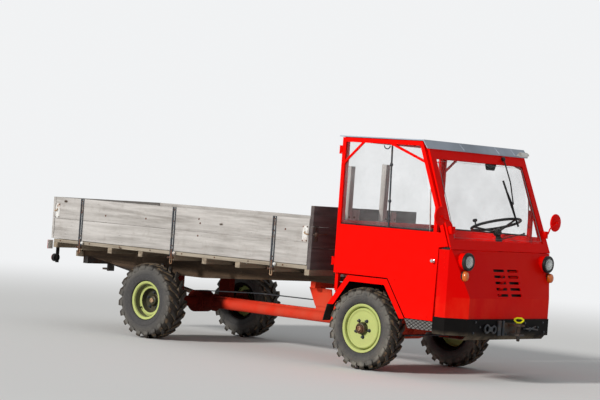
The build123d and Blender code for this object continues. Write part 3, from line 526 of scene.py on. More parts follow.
class Recipe:
    """Lays out the nodes of one finish, with every pattern on the piece's own coordinates."""

    def __init__(self, name: str) -> None:
        """Start an empty finish.

        Args:
            name: The material's name.
        """
        self.material = bpy.data.materials.new(name)
        self.tree = bare_tree(self.material)
        self.shader = add_node(self.tree, "BsdfPrincipled")
        add_node(self.tree, "OutputMaterial", {"Surface": self.shader.outputs["BSDF"]})
        self.coords = add_node(self.tree, "TexCoord").outputs["Object"]

    def give(self, **inputs: Value) -> None:
        """Set inputs of the shader itself, by their names with _ for a space."""
        for name, value in inputs.items():
            feed(self.shader.inputs[name.replace("_", " ")], value)

    def placed(self, stretch: Point = (1, 1, 1), turn: Point = (0, 0, 0), shift: Point = (0, 0, 0)) -> Socket:
        """Coordinates stretched along, turned by degrees about, and shifted along the three axes."""
        inputs = {"Vector": self.coords, "Scale": stretch, "Rotation": [radians(a) for a in turn], "Location": shift}
        return add_node(self.tree, "Mapping", inputs).outputs["Vector"]

    def noise(self, scale: float, detail: float = 4, rough: float = 0.55, stretch: Point = (1, 1, 1)) -> Socket:
        """Cloudy pattern from 0 to 1, with a number of clouds per metre, of finer layers, and their strength."""
        inputs = {"Scale": scale, "Detail": detail, "Roughness": rough, "Vector": self.placed(stretch)}
        return add_node(self.tree, "TexNoise", inputs).outputs["Fac"]

    def cells(self, scale: float, stretch: Point = (1, 1, 1)) -> Socket:
        """Distance, in cells, to the nearest of many scattered points, with a number of points per metre."""
        return add_node(self.tree, "TexVoronoi", {"Scale": scale, "Vector": self.placed(stretch)}).outputs["Distance"]

    def bands(self, scale: float, coords: Socket) -> Socket:
        """Even bands from 0 to 1 along the X axis of some coordinates."""
        return add_node(self.tree, "TexWave", {"Scale": scale, "Vector": coords}).outputs["Fac"]

    def along(self, axis: str) -> Socket:
        """The piece's coordinate along X, Y or Z, in metres."""
        return add_node(self.tree, "SeparateXYZ", {"Vector": self.coords}).outputs[axis]

    def distance(self, coords: Socket) -> Socket:
        """Distance of shifted coordinates from their own zero, in metres."""
        return add_node(self.tree, "VectorMath", {0: coords}, operation="LENGTH").outputs["Value"]

    def window(self, value: Value, low: float, high: float, top: float = 1.0) -> Socket:
        """Share that rises from 0 to top while a value goes from low to high, or falls where low is the higher."""
        inputs = {"Value": value, "From Min": low, "From Max": high, "To Max": top}
        return add_node(self.tree, "MapRange", inputs).outputs["Result"]

    def sums(self, operation: str, first: Value, second: Value) -> Socket:
        """One step of arithmetic, such as MULTIPLY, with two numbers."""
        return add_node(self.tree, "Math", {0: first, 1: second}, operation=operation).outputs["Value"]

    def blend(self, share: Value, under: Value, over: Value) -> Socket:
        """One colour laid over another as far as a share says."""
        return add_node(self.tree, "Mix", {0: share, 6: under, 7: over}, data_type="RGBA").outputs[2]

    def relief(self, height: Value, depth: float, strength: float = 1.0) -> None:
        """Raise the surface by a pattern.

        Args:
            height: The pattern.
            depth: How far its full height stands out, in metres.
            strength: How much of it shows.
        """
        node = add_node(self.tree, "Bump", {"Strength": strength, "Distance": depth, "Height": height})
        held = self.shader.inputs["Normal"].links
        if held:
            feed(node.inputs["Normal"], held[0].from_socket)
        feed(self.shader.inputs["Normal"], node.outputs["Normal"])


class Kind:
    """Base of the kinds of finish, each of which lays out nodes of its own."""

    def lay(self, mix: Recipe) -> None:
        """Lay out the nodes; every kind says how."""
        raise NotImplementedError

    def material(self, name: str) -> Material:
        """Make the finish's material.

        Args:
            name: The material's name.

        Returns:
            The material.
        """
        mix = Recipe(name)
        self.lay(mix)
        return mix.material


@dataclass(frozen=True)
class SheetPaint(Kind):
    """Brushed or sprayed paint on sheet steel, with faded patches, chips down to rust, road dust and painted shade.

    Attributes:
        colour: The sound paint.
        faded: The paint where it is worn or patched.
        rust: How much rust shows, from 0 to 1.
        dust_top: Height below which road dust gathers, in metres.
        dust: How thick the dust is, from 0 to 1.
        roughness: Of the sound paint.
        dust_depth: How far below that height the dust is full, in metres.
        patched_below: Height below which the paint is duller and patchy, in metres.
        hidden_within: Distance from the middle plane within which the sheet is blackened as painted shade, in metres.
        dark_behind: X behind which the paint is darkened as painted shade, in metres.
    """

    colour: Colour
    faded: Colour
    rust: float = 0.15
    dust_top: float = 0.9
    dust: float = 0.35
    roughness: float = 0.34
    dust_depth: float = 0.55
    patched_below: float = -1.0
    hidden_within: float = -1.0
    dark_behind: float = -9.0

    def lay(self, mix: Recipe) -> None:
        """Lay out the paint's nodes.

        Args:
            mix: Where they go.
        """
        patches = mix.noise(1.3, 5, 0.6)
        worn = mix.window(patches, 0.46, 0.72)
        low = mix.window(mix.along("Z"), self.patched_below + 0.004, self.patched_below - 0.004)
        streaks = mix.window(mix.noise(4.5, 5, 0.65, (1, 1.6, 0.7)), 0.36, 0.66)
        worn = mix.sums("MAXIMUM", mix.sums("MULTIPLY", low, streaks), mix.sums("MULTIPLY", worn, 0.6))
        chips = mix.noise(26, 7, 0.72)
        edge = 0.82 - 0.22 * self.rust
        chipped = mix.window(mix.sums("ADD", chips, mix.window(patches, 0.3, 0.8, 0.08)), edge, edge + 0.035)
        height = mix.window(mix.along("Z"), self.dust_top, self.dust_top - self.dust_depth)
        grime = mix.window(mix.noise(5.5, 6, 0.65), 0.32, 0.75)
        dusty = mix.sums("MULTIPLY", mix.sums("MULTIPLY", height, grime), self.dust)
        colour = mix.blend(worn, self.colour, self.faded)
        colour = mix.blend(chipped, colour, RUST)
        colour = mix.blend(dusty, colour, ROAD_DUST)
        # Painted shade: the sheet is blackened within a distance of the middle plane and darkened behind an X, standing
        # in for the shade inside guards and rims and under the bed.
        inside = mix.sums("ABSOLUTE", mix.along("Y"), 0.0)
        inside = mix.window(inside, self.hidden_within + 0.0006, self.hidden_within - 0.0006)
        behind = mix.window(mix.along("X"), self.dark_behind + 0.03, self.dark_behind - 0.03)
        shade_mask = mix.sums("MAXIMUM", inside, mix.sums("MULTIPLY", behind, 0.86))
        colour = mix.blend(shade_mask, colour, (26, 17, 15))
        dull = mix.sums("MAXIMUM", mix.sums("MAXIMUM", chipped, dusty), shade_mask)
        smooth = mix.window(mix.noise(9, 3), 0.3, 0.7, 0.12)
        roughness = mix.sums("ADD", mix.window(dull, 0, 1, 0.45), mix.sums("ADD", smooth, self.roughness))
        mix.give(Base_Color=colour, Roughness=roughness, Metallic=0.0, Specular_IOR_Level=0.045)
        mix.relief(mix.noise(3.1, 2), 0.004, 0.35)
        mix.relief(mix.sums("SUBTRACT", mix.noise(160, 2), chipped), 0.0004, 0.5)


@dataclass(frozen=True)
class Timber(Kind):
    """Sawn boards with grain, knots, cracks and stains.

    Attributes:
        pale: The bleached wood.
        dark: The wood in its grain and stains.
        grain: The way its fibres run.
        grime: How much dirt lies on it, from 0 to 1.
    """

    pale: Colour
    dark: Colour
    grain: Grain
    grime: float = 0.3

    def lay(self, mix: Recipe) -> None:
        """Lay out the wood's nodes.

        Args:
            mix: Where they go.
        """
        fibres = self.grain.value
        finer = tuple(2.4 * stretch for stretch in fibres)
        streaks = mix.noise(1.6, 8, 0.62, fibres)
        threads = mix.noise(5.0, 6, 0.7, finer)
        clouds = mix.noise(2.1, 5, 0.6)
        knots = mix.cells(1.9, tuple(1.0 if stretch == 1.0 else 2.2 for stretch in fibres))
        knot = mix.window(mix.sums("ADD", knots, mix.window(mix.noise(30, 3), 0, 1, 0.03)), 0.085, 0.05)
        crack = mix.window(threads, 0.335, 0.30)
        run = mix.window(mix.noise(2.6, 5, 0.6, (9.0, 9.0, 1.6)), 0.60, 0.78, 0.55)
        colour = mix.blend(mix.window(streaks, 0.34, 0.68), self.dark, self.pale)
        colour = mix.blend(mix.window(clouds, 0.38, 0.72, 0.5), colour, self.pale)
        colour = mix.blend(mix.sums("MULTIPLY", run, self.grime), colour, self.dark)
        colour = mix.blend(mix.sums("MAXIMUM", knot, mix.window(crack, 0, 1, 0.75)), colour, (66, 54, 45))
        stain = mix.sums("MULTIPLY", mix.window(mix.noise(7, 6, 0.7), 0.55, 0.75), self.grime)
        colour = mix.blend(stain, colour, (112, 98, 82))
        mix.give(Base_Color=colour, Specular_IOR_Level=0.18)
        mix.give(Roughness=mix.sums("ADD", mix.window(streaks, 0.2, 0.8, 0.18), 0.72))
        height = mix.sums("SUBTRACT", mix.sums("ADD", threads, streaks), mix.sums("MULTIPLY", crack, 1.5))
        mix.relief(height, 0.0022, 0.8)
        mix.relief(mix.noise(1.2, 2), 0.008, 0.4)


@dataclass(frozen=True)
class TyreRubber(Kind):
    """Tyre rubber with dusty flanks, lugs rubbed dark on their tops, and a pale brown band along the lugs' upper edges
    that is part dirt and part painted highlight.

    Attributes:
        axle_x: Where the wheel's axle is.
        axle_z: How high it is.
        root: Radius at the foot of the lugs.
        top: Radius over the lugs.
        dust: How much dust lies on the outer part of the flank, from 0 to 1.
    """

    axle_x: float
    axle_z: float
    root: float
    top: float
    dust: float

    def lay(self, mix: Recipe) -> None:
        """Lay out the rubber's nodes.

        Args:
            mix: Where they go.
        """
        radius = mix.distance(mix.placed((1, 0, 1), shift=(-self.axle_x, 0, -self.axle_z)))
        fine = mix.noise(42, 7, 0.7)
        broad = mix.noise(6.5, 5, 0.6)
        flank = mix.blend(mix.window(fine, 0.3, 0.7), (54, 53, 54), (80, 78, 77))
        outer = mix.window(radius, self.root - 0.10, self.root - 0.01, self.dust)
        outer = mix.sums("MULTIPLY", outer, mix.window(broad, 0.25, 0.6))
        flank = mix.blend(outer, flank, (132, 127, 117))
        soil = mix.window(mix.noise(24, 6, 0.65), 0.40, 0.62)
        lug_side = mix.blend(mix.sums("MULTIPLY", soil, 0.35), (36, 33, 31), (112, 96, 78))
        tread = mix.window(radius, self.root - 0.014, self.root + 0.002)
        # Pale brown band along the lugs' upper edges, in patches: part dirt and part painted highlight.
        rubbed = mix.sums("MULTIPLY", mix.window(radius, self.top - 0.016, self.top - 0.008), soil)
        worn = mix.window(radius, self.top - 0.0065, self.top - 0.003)
        top = mix.blend(mix.window(fine, 0.45, 0.75, 0.6), (58, 56, 55), (104, 98, 90))
        colour = mix.blend(tread, flank, lug_side)
        colour = mix.blend(mix.sums("MULTIPLY", rubbed, 0.9), colour, (150, 126, 96))
        colour = mix.blend(worn, colour, top)
        mix.give(Base_Color=colour, Roughness=mix.sums("ADD", mix.window(fine, 0.2, 0.8, 0.2), 0.68))
        mix.give(Specular_IOR_Level=0.3)
        mix.relief(fine, 0.0012, 0.6)
        mix.relief(broad, 0.003, 0.4)


@dataclass(frozen=True)
class BareMetal(Kind):
    """Unpainted metal with stains, rust and pits.

    Attributes:
        colour: The clean metal.
        stained: The metal where it is stained or rusty.
        rust: How much of it is stained, from 0 to 1.
        metallic: From 0 for crusted iron to 1 for bright metal.
        roughness: Of the clean metal.
    """

    colour: Colour
    stained: Colour
    rust: float
    metallic: float
    roughness: float

    def lay(self, mix: Recipe) -> None:
        """Lay out the metal's nodes.

        Args:
            mix: Where they go.
        """
        fine = mix.noise(55, 8, 0.7)
        broad = mix.noise(9, 5, 0.6)
        middle = 0.78 - 0.5 * self.rust
        stained = mix.window(mix.sums("ADD", broad, mix.window(fine, 0, 1, 0.3)), middle, middle + 0.22)
        colour = mix.blend(stained, self.colour, mix.blend(fine, self.stained, (74, 48, 34)))
        colour = mix.blend(mix.window(mix.noise(14, 4), 0.55, 0.8, 0.35), colour, ROAD_DUST)
        rough = mix.sums("ADD", mix.window(stained, 0, 1, 0.4), self.roughness)
        mix.give(Base_Color=colour, Roughness=rough, Metallic=self.metallic)
        mix.relief(fine, 0.0009, 0.6)


@dataclass(frozen=True)
class CheckerPlate(Kind):
    """Galvanised plate with raised crossing lozenges, kept dark all over as painted shade.

    Attributes:
        pitch: How many rows of lozenges there are in a metre.
    """

    pitch: float

    def lay(self, mix: Recipe) -> None:
        """Lay out the plate's nodes.

        Args:
            mix: Where they go.
        """
        along, across, up = (mix.along(axis) for axis in "XYZ")
        flat = mix.sums("ADD", across, up)
        rising = self.lines(mix, mix.sums("ADD", along, mix.sums("MULTIPLY", flat, 1.6)))
        falling = self.lines(mix, mix.sums("SUBTRACT", along, mix.sums("MULTIPLY", flat, 1.6)))
        lozenge = mix.window(mix.sums("MULTIPLY", rising, falling), 0.18, 0.42)
        stain = mix.noise(11, 7, 0.7)
        # Painted shade: the plate's colours are kept dark for the cab's shadow on the step; the lighter lozenge tops
        # are part wear and part painted highlight.
        colour = mix.blend(mix.window(stain, 0.35, 0.65), (34, 33, 32), (60, 57, 54))
        colour = mix.blend(mix.window(lozenge, 0, 1, 0.7), colour, (132, 129, 126))
        colour = mix.blend(mix.window(mix.noise(6, 6), 0.6, 0.75, 0.7), colour, RUST)
        mix.give(Base_Color=colour, Roughness=mix.window(stain, 0, 1, 0.7), Metallic=0.45)
        mix.relief(lozenge, 0.003, 1.0)
        mix.relief(stain, 0.0006, 0.5)

    def lines(self, mix: Recipe, place: Socket) -> Socket:
        """Share that swings between 0 and 1 along a place in metres."""
        turn = mix.sums("MULTIPLY", place, self.pitch * 2 * pi)
        return mix.sums("ABSOLUTE", mix.sums("SINE", turn, 0.0), 0.0)


@dataclass(frozen=True)
class DustyGlass(Kind):
    """Thin glass with a cloudy film of dust, and a pale film at grazing angles that is painted reflection.

    Attributes:
        film: How much of the glass shows as film, from 0 to 1.
        colour: The film's colour.
    """

    film: float
    colour: Colour

    def lay(self, mix: Recipe) -> None:
        """Lay out the glass's nodes.

        Args:
            mix: Where they go.
        """
        clouds = mix.window(mix.noise(3.2, 6, 0.6), 0.3, 0.75, self.film * 1.6)
        specks = mix.window(mix.noise(120, 3), 0.66, 0.72, 0.35)
        # Pale film that grows at grazing angles: painted reflection.
        slant = add_node(mix.tree, "LayerWeight", {"Blend": 0.12}).outputs["Fresnel"]
        painted_reflection = mix.window(slant, 0, 1, 0.55)
        cover = mix.sums("ADD", mix.sums("MAXIMUM", clouds, mix.sums("MULTIPLY", specks, self.film)), painted_reflection)
        tint = mix.blend(mix.window(clouds, 0, 1), self.colour, (226, 222, 212))
        mix.give(Base_Color=tint, Roughness=0.08, Alpha=mix.sums("ADD", cover, self.film * 0.35))
        mix.give(Specular_IOR_Level=0.8)


@dataclass(frozen=True)
class LampGlass(Kind):
    """Moulded lamp glass with flutes and dirt.

    Attributes:
        colour: The glass's colour.
        clear: How much light passes, from 0 to 1.
        flutes: How many flutes there are in a metre.
    """

    colour: Colour
    clear: float
    flutes: float

    def lay(self, mix: Recipe) -> None:
        """Lay out the glass's nodes.

        Args:
            mix: Where they go.
        """
        dirt = mix.window(mix.noise(28, 6, 0.65), 0.52, 0.8, 0.45)
        colour = mix.blend(dirt, self.colour, (150, 132, 108))
        mix.give(Base_Color=colour, Roughness=mix.window(dirt, 0, 1, 0.5), IOR=1.45)
        mix.give(Transmission_Weight=self.clear, Coat_Weight=0.4, Coat_Roughness=0.08)
        mix.relief(mix.bands(self.flutes, mix.placed(turn=(0, 0, 90))), 0.0014, 0.8)


@dataclass(frozen=True)
class SoftCover(Kind):
    """Seat covering or flap rubber with a fine grain and wear.

    Attributes:
        colour: The sound covering.
        worn: The covering where it is rubbed or dusty.
        grain: Fineness of its grain, per metre.
        roughness: Of the sound covering.
    """

    colour: Colour
    worn: Colour
    grain: float
    roughness: float

    def lay(self, mix: Recipe) -> None:
        """Lay out the covering's nodes.

        Args:
            mix: Where they go.
        """
        leather = mix.cells(self.grain)
        rubbed = mix.window(mix.noise(5, 6, 0.62), 0.45, 0.75, 0.7)
        colour = mix.blend(rubbed, self.colour, self.worn)
        colour = mix.blend(mix.window(leather, 0.5, 0.0, 0.4), colour, self.colour)
        mix.give(Base_Color=colour, Roughness=mix.sums("ADD", mix.window(rubbed, 0, 1, 0.25), self.roughness))
        mix.give(Specular_IOR_Level=0.16)
        mix.relief(leather, 0.0006, 0.6)
        mix.relief(mix.noise(8, 3), 0.004, 0.3)


RED, WORN_RED = (244, 7, 0), (232, 8, 0)
PALE_WOOD, GREY_WOOD = (203, 199, 195), (150, 145, 140)


class Finish(Enum):
    """Every finish of the vehicle but the tyres' rubber."""

    CAB_RED = SheetPaint(RED, WORN_RED, 0.05, 0.72, 0.02)
    # The guards are blackened inwards of their outer faces: painted shade inside the arches.
    GUARD_RED = SheetPaint(RED, WORN_RED, 0.08, 0.72, 0.03, hidden_within=0.7855)
    NOSE_RED = SheetPaint((226, 2, 0), (232, 34, 16), 0.08, 0.70, 0.05, patched_below=0.757)
    # The frame's rear part, under the bed, is darkened: painted shade.
    FRAME_RED = SheetPaint((222, 50, 26), (196, 96, 68), 0.5, 0.62, 0.35, 0.42, dark_behind=-0.89)
    BLACK_PAINT = SheetPaint((14, 13, 14), (32, 29, 26), 0.2, 0.46, 0.75, 0.45, 0.09)
    # Black for the arch linings: painted shade inside the arches.
    ARCH_BLACK = SheetPaint((22, 20, 20), (38, 33, 30), 0.3, 0.5, 0.3, 0.7)
    ROOF_GREY = SheetPaint((176, 185, 197), (130, 138, 148), 0.35, 0.5, 0.0, 0.6)
    # The rims' inner faces are blackened: painted shade.
    RIM_GREEN = SheetPaint((188, 198, 122), (170, 180, 108), 0.2, 0.7, 0.24, 0.38, hidden_within=0.70)
    # The barrel sleeve and the well of the rear rims are darker for dust and grime, and darker still as painted shade
    # in their depth.
    RIM_BARREL = SheetPaint((104, 108, 78), (80, 82, 62), 0.4, 0.7, 0.4, 0.5, hidden_within=0.70)
    RIM_SHADE = SheetPaint((52, 54, 40), (34, 34, 28), 0.5, 0.7, 0.3, 0.6)
    RING_YELLOW = SheetPaint((226, 222, 34), (198, 190, 40), 0.2, 0.5, 0.2)
    GREY_BOARDS = Timber(PALE_WOOD, GREY_WOOD, Grain.LENGTHWISE)
    CROSS_BOARDS = Timber(PALE_WOOD, GREY_WOOD, Grain.CROSSWISE)
    GREY_POSTS = Timber(PALE_WOOD, GREY_WOOD, Grain.UPRIGHT)
    BROWN_BOARDS = Timber((104, 96, 95), (70, 62, 62), Grain.CROSSWISE, 0.5)
    FLOOR_BOARDS = Timber((176, 166, 150), (122, 110, 96), Grain.LENGTHWISE, 0.6)
    DARK_BEARERS = Timber((92, 74, 58), (50, 40, 33), Grain.LENGTHWISE, 0.6)
    JOIST_WOOD = Timber((170, 156, 136), (104, 90, 76), Grain.CROSSWISE, 0.5)
    RUSTY_IRON = BareMetal((84, 66, 56), (128, 74, 42), 0.45, 0.1, 0.6)
    DARK_IRON = BareMetal((50, 54, 60), (92, 70, 54), 0.16, 0.3, 0.5)
    TAN_IRON = BareMetal((178, 148, 116), (146, 86, 46), 0.4, 0.15, 0.55)
    OILY_IRON = BareMetal((56, 56, 38), (132, 74, 46), 0.34, 0.3, 0.42)
    CAST_IRON = BareMetal((54, 50, 47), (86, 60, 44), 0.35, 0.2, 0.6)
    ZINC = BareMetal((186, 184, 180), (164, 118, 78), 0.3, 0.4, 0.4)
    CHROME = BareMetal((206, 206, 204), (150, 140, 128), 0.08, 1.0, 0.12)
    WHITE_ZINC = BareMetal((222, 221, 217), (182, 122, 70), 0.26, 0.1, 0.5)
    CHECKER_PLATE = CheckerPlate(10.0)
    SCREEN_GLASS = DustyGlass(0.012, (150, 160, 158))
    SIDE_GLASS = DustyGlass(0.08, (158, 164, 166))
    LAMP_GLASS = LampGlass((238, 242, 240), 0.85, 26.0)
    AMBER_GLASS = LampGlass((240, 116, 22), 0.25, 34.0)
    RED_GLASS = LampGlass((206, 24, 22), 0.2, 34.0)
    GREY_STRIP = SoftCover((158, 168, 172), (120, 124, 124), 220.0, 0.5)
    BLACK_PLASTIC = SoftCover((24, 24, 25), (62, 58, 54), 260.0, 0.38)
    FLAP_RUBBER = SoftCover((44, 41, 38), (104, 94, 80), 120.0, 0.7)
    SEAT_COVER = SoftCover((44, 42, 42), (82, 76, 70), 190.0, 0.46)

    @cached_property
    def material(self) -> Material:
        """Material of the finish, made when a piece first takes it."""
        return self.value.material(self.name.lower())


def fit(
    piece: Piece, finish: Finish | Material, body: str = CHASSIS, replaces: Sequence[str] = ()
) -> Piece:
    """Give a finished piece its material and the body that it rides on.

    Args:
        piece: The piece.
        finish: Its finish, or a material made for it.
        body: The body that carries it.
        replaces: CAD nodes that it stands for.

    Returns:
        The same piece.
    """
    piece.data.materials.clear()
    piece.data.materials.append(finish.material if isinstance(finish, Finish) else finish)
    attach(piece, body)
    if replaces:
        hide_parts(*replaces)
    log.info("%s rides on %s, %d faces", piece.name, body, len(piece.data.polygons))
    return piece


# Wheels


@dataclass(frozen=True)
class Wheels:
    """One axle's pair of wheels: lugged tyres, rims, hubs and nuts.

    Attributes:
        axle: The axle.
        track_half: Distance of a tyre's middle plane from the vehicle's.
        tyre_half: Half the tyre's width.
        rim_half: Half the rim's width.
        flange_radius: Radius over the rim's flange.
        lug_count: Lugs in each of the tyre's two rows.
        dust: How much dust lies on the tyres' flanks, from 0 to 1.
    """

    axle: Axle
    track_half: float
    tyre_half: float
    rim_half: float
    flange_radius: float
    lug_count: int
    dust: float

    # Sizes that both axles share
    axle_height: float = 0.380
    root_radius: float = 0.352
    flange_height: float = 0.021
    bead_wall: float = 0.010
    lug_width: float = 0.030
    lug_slant: float = radians(40)
    lug_gap: float = 0.003
    lug_end_in: float = 0.002
    nut_circle: float = 0.080
    well_outline: Outline = (
        (0.029, 0.1236), (0.010, 0.119), (-0.018, 0.108), (-0.022, 0.100), (-0.022, 0.030), (-0.030, 0.030),
        (-0.030, 0.104), (-0.006, 0.122), (0.022, 0.1242),
    )

    def casing(self) -> Piece:
        """Turn the tyre's casing, its axle along Y.

        Returns:
            The casing.
        """
        half, rim, root = self.tyre_half, self.flange_radius, self.root_radius
        bead = self.rim_half - self.bead_wall - 0.0005
        seat = rim - self.flange_height + 0.0005
        outer = [
            (bead, seat), (bead, rim + 0.002), (half - 0.017, rim + 0.010), (half - 0.006, rim + 0.030),
            (half - 0.0012, rim + 0.056), (half - 0.0012, rim + 0.060), (half - 0.003, rim + 0.063),
            (half - 0.001, rim + 0.067), (half - 0.002, root - 0.052), (half - 0.012, root - 0.030),
            (half * 0.82, root - 0.010), (half * 0.45, root - 0.001),
        ]
        outline = [*outer, *((-out, radius) for out, radius in reversed(outer))]
        casing = spun("tyre_casing", outline, 88)
        return moved(casing, Matrix.Rotation(radians(-90), 4, "X"))

    def lug_row(self, row: int) -> Piece:
        """Model one lug and turn copies of it round the tyre.

        Args:
            row: 1 for the row towards +Y, -1 for the other.

        Returns:
            The row of lugs, the tyre's axle along Y.
        """
        run = self.tyre_half - self.lug_end_in - self.lug_gap
        slant, half = math.tan(self.lug_slant), self.lug_width / 2
        length = (run - self.lug_width * sin(self.lug_slant)) / cos(self.lug_slant)
        reach = (length * sin(self.lug_slant) + self.lug_width * cos(self.lug_slant)) / 2
        top = math.sqrt(self.axle_height**2 - reach**2)
        crest = self.axle_height - 0.0006
        long = run / cos(self.lug_slant)
        lug = block("lug", (-long / 2, -half * 1.15, self.root_radius - 0.044), (long / 2, half * 1.15, crest))
        with editing(lug, "EDGE"):
            pick_edges(lug, 0)
            bpy.ops.mesh.subdivide(number_cuts=5)
            bpy.ops.mesh.select_mode(type="FACE")
            pick_faces(lug, lambda middle, normal: normal.z > 0.9)
            bpy.ops.transform.resize(value=(1, 0.80, 1))
            bpy.ops.mesh.select_mode(type="VERT")
            bpy.ops.mesh.select_all(action="SELECT")
        for corner in lug.data.vertices:
            tangent = corner.co.x * sin(self.lug_slant) + row * corner.co.y / cos(self.lug_slant)
            if corner.co.z > self.root_radius:
                corner.co.z = math.sqrt(crest**2 - tangent**2)
            outward = corner.co.x / long + 0.5
            corner.co.y *= 0.94 + 0.72 * outward**2
            corner.co.x += row * corner.co.y * slant
            corner.co.y += row * 0.008 * (1 - (2 * corner.co.x / long) ** 2)
            if corner.co.z > self.root_radius and outward > 0.7:
                corner.co.z -= 0.011 * (outward - 0.7) / 0.3
        soften(lug, 0.0045, 2)
        turn = -pi / 2 - math.atan2(reach, top) + (0 if row == 1 else pi / self.lug_count)
        outwards = Vector((cos(turn), 0, sin(turn)))
        around = Vector((-sin(turn), 0, cos(turn)))
        along = Vector((0, row * cos(self.lug_slant), 0)) + around * sin(self.lug_slant)
        axes = Matrix((along, outwards.cross(along), outwards)).transposed().to_4x4()
        moved(lug, Matrix.Translation((0, row * (self.lug_gap + run / 2), 0)) @ axes)
        steps = self.lug_count - 1
        with editing(lug, "VERT"):
            angle = 2 * pi * steps / self.lug_count
            bpy.ops.mesh.spin(steps=steps, angle=angle, dupli=True, center=(0, 0, 0), axis=(0, 1, 0))
        return lug

    def tyre(self) -> Piece:
        """Join the casing and both rows of lugs, the tyre's axle along Y."""
        return joined("tyre_model", [self.casing(), self.lug_row(1), self.lug_row(-1)])

    def rim_outline(self) -> list[tuple[float, float]]:
        """Section of the rim with rolled flanges, and the axle's own disc or well.

        Returns:
            Points as (distance outwards, radius).
        """
        half, rim = self.rim_half, self.flange_radius
        seat = rim - self.flange_height
        lip = [
            (half - self.bead_wall, seat), (half - self.bead_wall, rim - 0.006), (half - 0.0075, rim - 0.0012),
            (half - 0.004, rim), (half - 0.0012, rim - 0.0016), (half, rim - 0.006),
            (half - 0.0016, rim - 0.013), (half - 0.007, seat - 0.002), (half - 0.018, seat - 0.0062),
        ]
        inner = [(-out, radius) for out, radius in reversed(lip)]
        if self.axle is Axle.FRONT:
            disc = [
                (0.026, seat - 0.007), (0.025, seat - 0.014), (0.052, seat - 0.017), (0.065, seat - 0.021),
                (0.0705, seat - 0.026), (0.072, seat - 0.031), (0.070, seat - 0.037), (0.066, seat - 0.043),
                (0.0625, seat - 0.048), (0.062, seat - 0.054), (0.062, 0.030), (0.055, 0.030),
                (0.055, seat - 0.055), (0.060, seat - 0.044), (0.064, seat - 0.031), (0.058, seat - 0.026),
                (0.018, seat - 0.018), (0.018, seat - 0.011),
            ]
        else:
            disc = [
                (0.026, seat - 0.009), (0.023, 0.156), (0.031, 0.150), (0.034, 0.144), (0.033, 0.130),
                (0.029, 0.1235), (0.022, 0.124), (0.025, 0.140), (0.018, 0.154), (0.018, seat - 0.008),
            ]
        return [*lip, *disc, *inner]

    def hub_outline(self) -> list[tuple[float, float]]:
        """Section of the hub that stands out of the disc or the well.

        Returns:
            Points as (distance outwards, radius).
        """
        if self.axle is Axle.FRONT:
            return [
                (-0.070, 0.0245), (-0.070, 0.105), (0.030, 0.105), (0.054, 0.064), (0.0625, 0.060),
                (0.070, 0.057), (0.098, 0.053), (0.105, 0.049), (0.107, 0.041), (0.119, 0.040), (0.121, 0.038),
                (0.1205, 0.032), (0.106, 0.030), (0.106, 0), (0.102, 0), (0.102, 0.0245),
            ]
        return [
            (-0.070, 0.0245), (-0.070, 0.105), (-0.0302, 0.105), (-0.0218, 0.062), (-0.018, 0.056),
            (-0.008, 0.050), (0.001, 0.048), (0.006, 0.043), (0.008, 0.035), (0.008, 0), (-0.006, 0),
            (-0.006, 0.0245),
        ]

    def nuts(self) -> Piece:
        """Wheel nuts with their stud ends, on their circle.

        Returns:
            The nuts, standing along Z.
        """
        if self.axle is Axle.FRONT:
            seat, size, angles = 0.062, 0.0135, (126, 58, -10, -84, -156)
        else:
            seat, size, angles = -0.022, 0.013, (90, 18, -54, -126, -198)
        nut = bolt_head(size, 0.014)
        with editing(nut):
            highest = max(corner.co.z for corner in nut.data.vertices)
            pick_faces(nut, lambda middle, normal: middle.z > highest - 0.0015 and normal.z > 0.9)
            pull((0, 0, 0.007))
        turns = [radians(angle) for angle in angles]
        circle = self.nut_circle
        places = [Matrix.Translation((circle * cos(turn), circle * sin(turn), seat)) for turn in turns]
        return scattered("nuts_model", nut, places)

    def castle_nut(self) -> Piece:
        """Slotted nut on the hub's outer end.

        Returns:
            The nut, standing along Z.
        """
        base, rise = (0.105, 0.017) if self.axle is Axle.FRONT else (0.004, 0.016)
        middle = (0, 0, base + rise * 0.275)
        bpy.ops.mesh.primitive_cylinder_add(vertices=24, radius=0.024, depth=rise * 0.55, location=middle)
        nut = settle("castle_model")
        with editing(nut):
            pick_faces(nut, lambda middle, normal: normal.z > 0.9)
            bpy.ops.mesh.inset(thickness=0.010)
            pick_faces(
                nut,
                lambda middle, normal: normal.z > 0.9
                and middle.to_2d().length > 0.013
                and round(math.degrees(math.atan2(middle.y, middle.x)) / 15 - 0.5) % 4 < 3,
            )
            pull((0, 0, rise * 0.45))
        return soften(nut, 0.0008, 1)

    def valve(self) -> Piece:
        """Tyre valve with its cap, in the rim's hollow.

        Returns:
            The valve, in the rim's own axes.
        """
        reach, turn = (0.180, radians(165)) if self.axle is Axle.FRONT else (0.138, radians(215))
        middle = Matrix.Translation((reach * cos(turn), reach * sin(turn), 0.030))
        outline = [(0, 0), (0, 0.009), (0.012, 0.008), (0.014, 0.0055), (0.026, 0.0055), (0.028, 0.007)]
        outline += [(0.038, 0.006), (0.038, 0)]
        return moved(spun("valve_model", outline, 14), middle)

    def build(self, axle_x: float) -> None:
        """Model the wheels and set them on both sides.

        Args:
            axle_x: Where the axle is.
        """
        kind = TyreRubber(axle_x, self.axle_height, self.root_radius, self.axle_height, self.dust)
        rubber = kind.material(f"{self.axle.value}_tyre_rubber")
        tyre = self.tyre()
        upright = Matrix.Rotation(radians(90), 4, "X")
        models = {
            "rim_shell": (spun("rim_model", self.rim_outline(), 72), Finish.RIM_GREEN),
            "hub": (spun("hub_model", self.hub_outline(), 36), Finish.OILY_IRON),
            "nuts": (self.nuts(), Finish.DARK_IRON),
            "axle_nut": (self.castle_nut(), Finish.TAN_IRON),
            "valve": (self.valve(), Finish.BLACK_PLASTIC),
        }
        if self.axle is Axle.REAR:
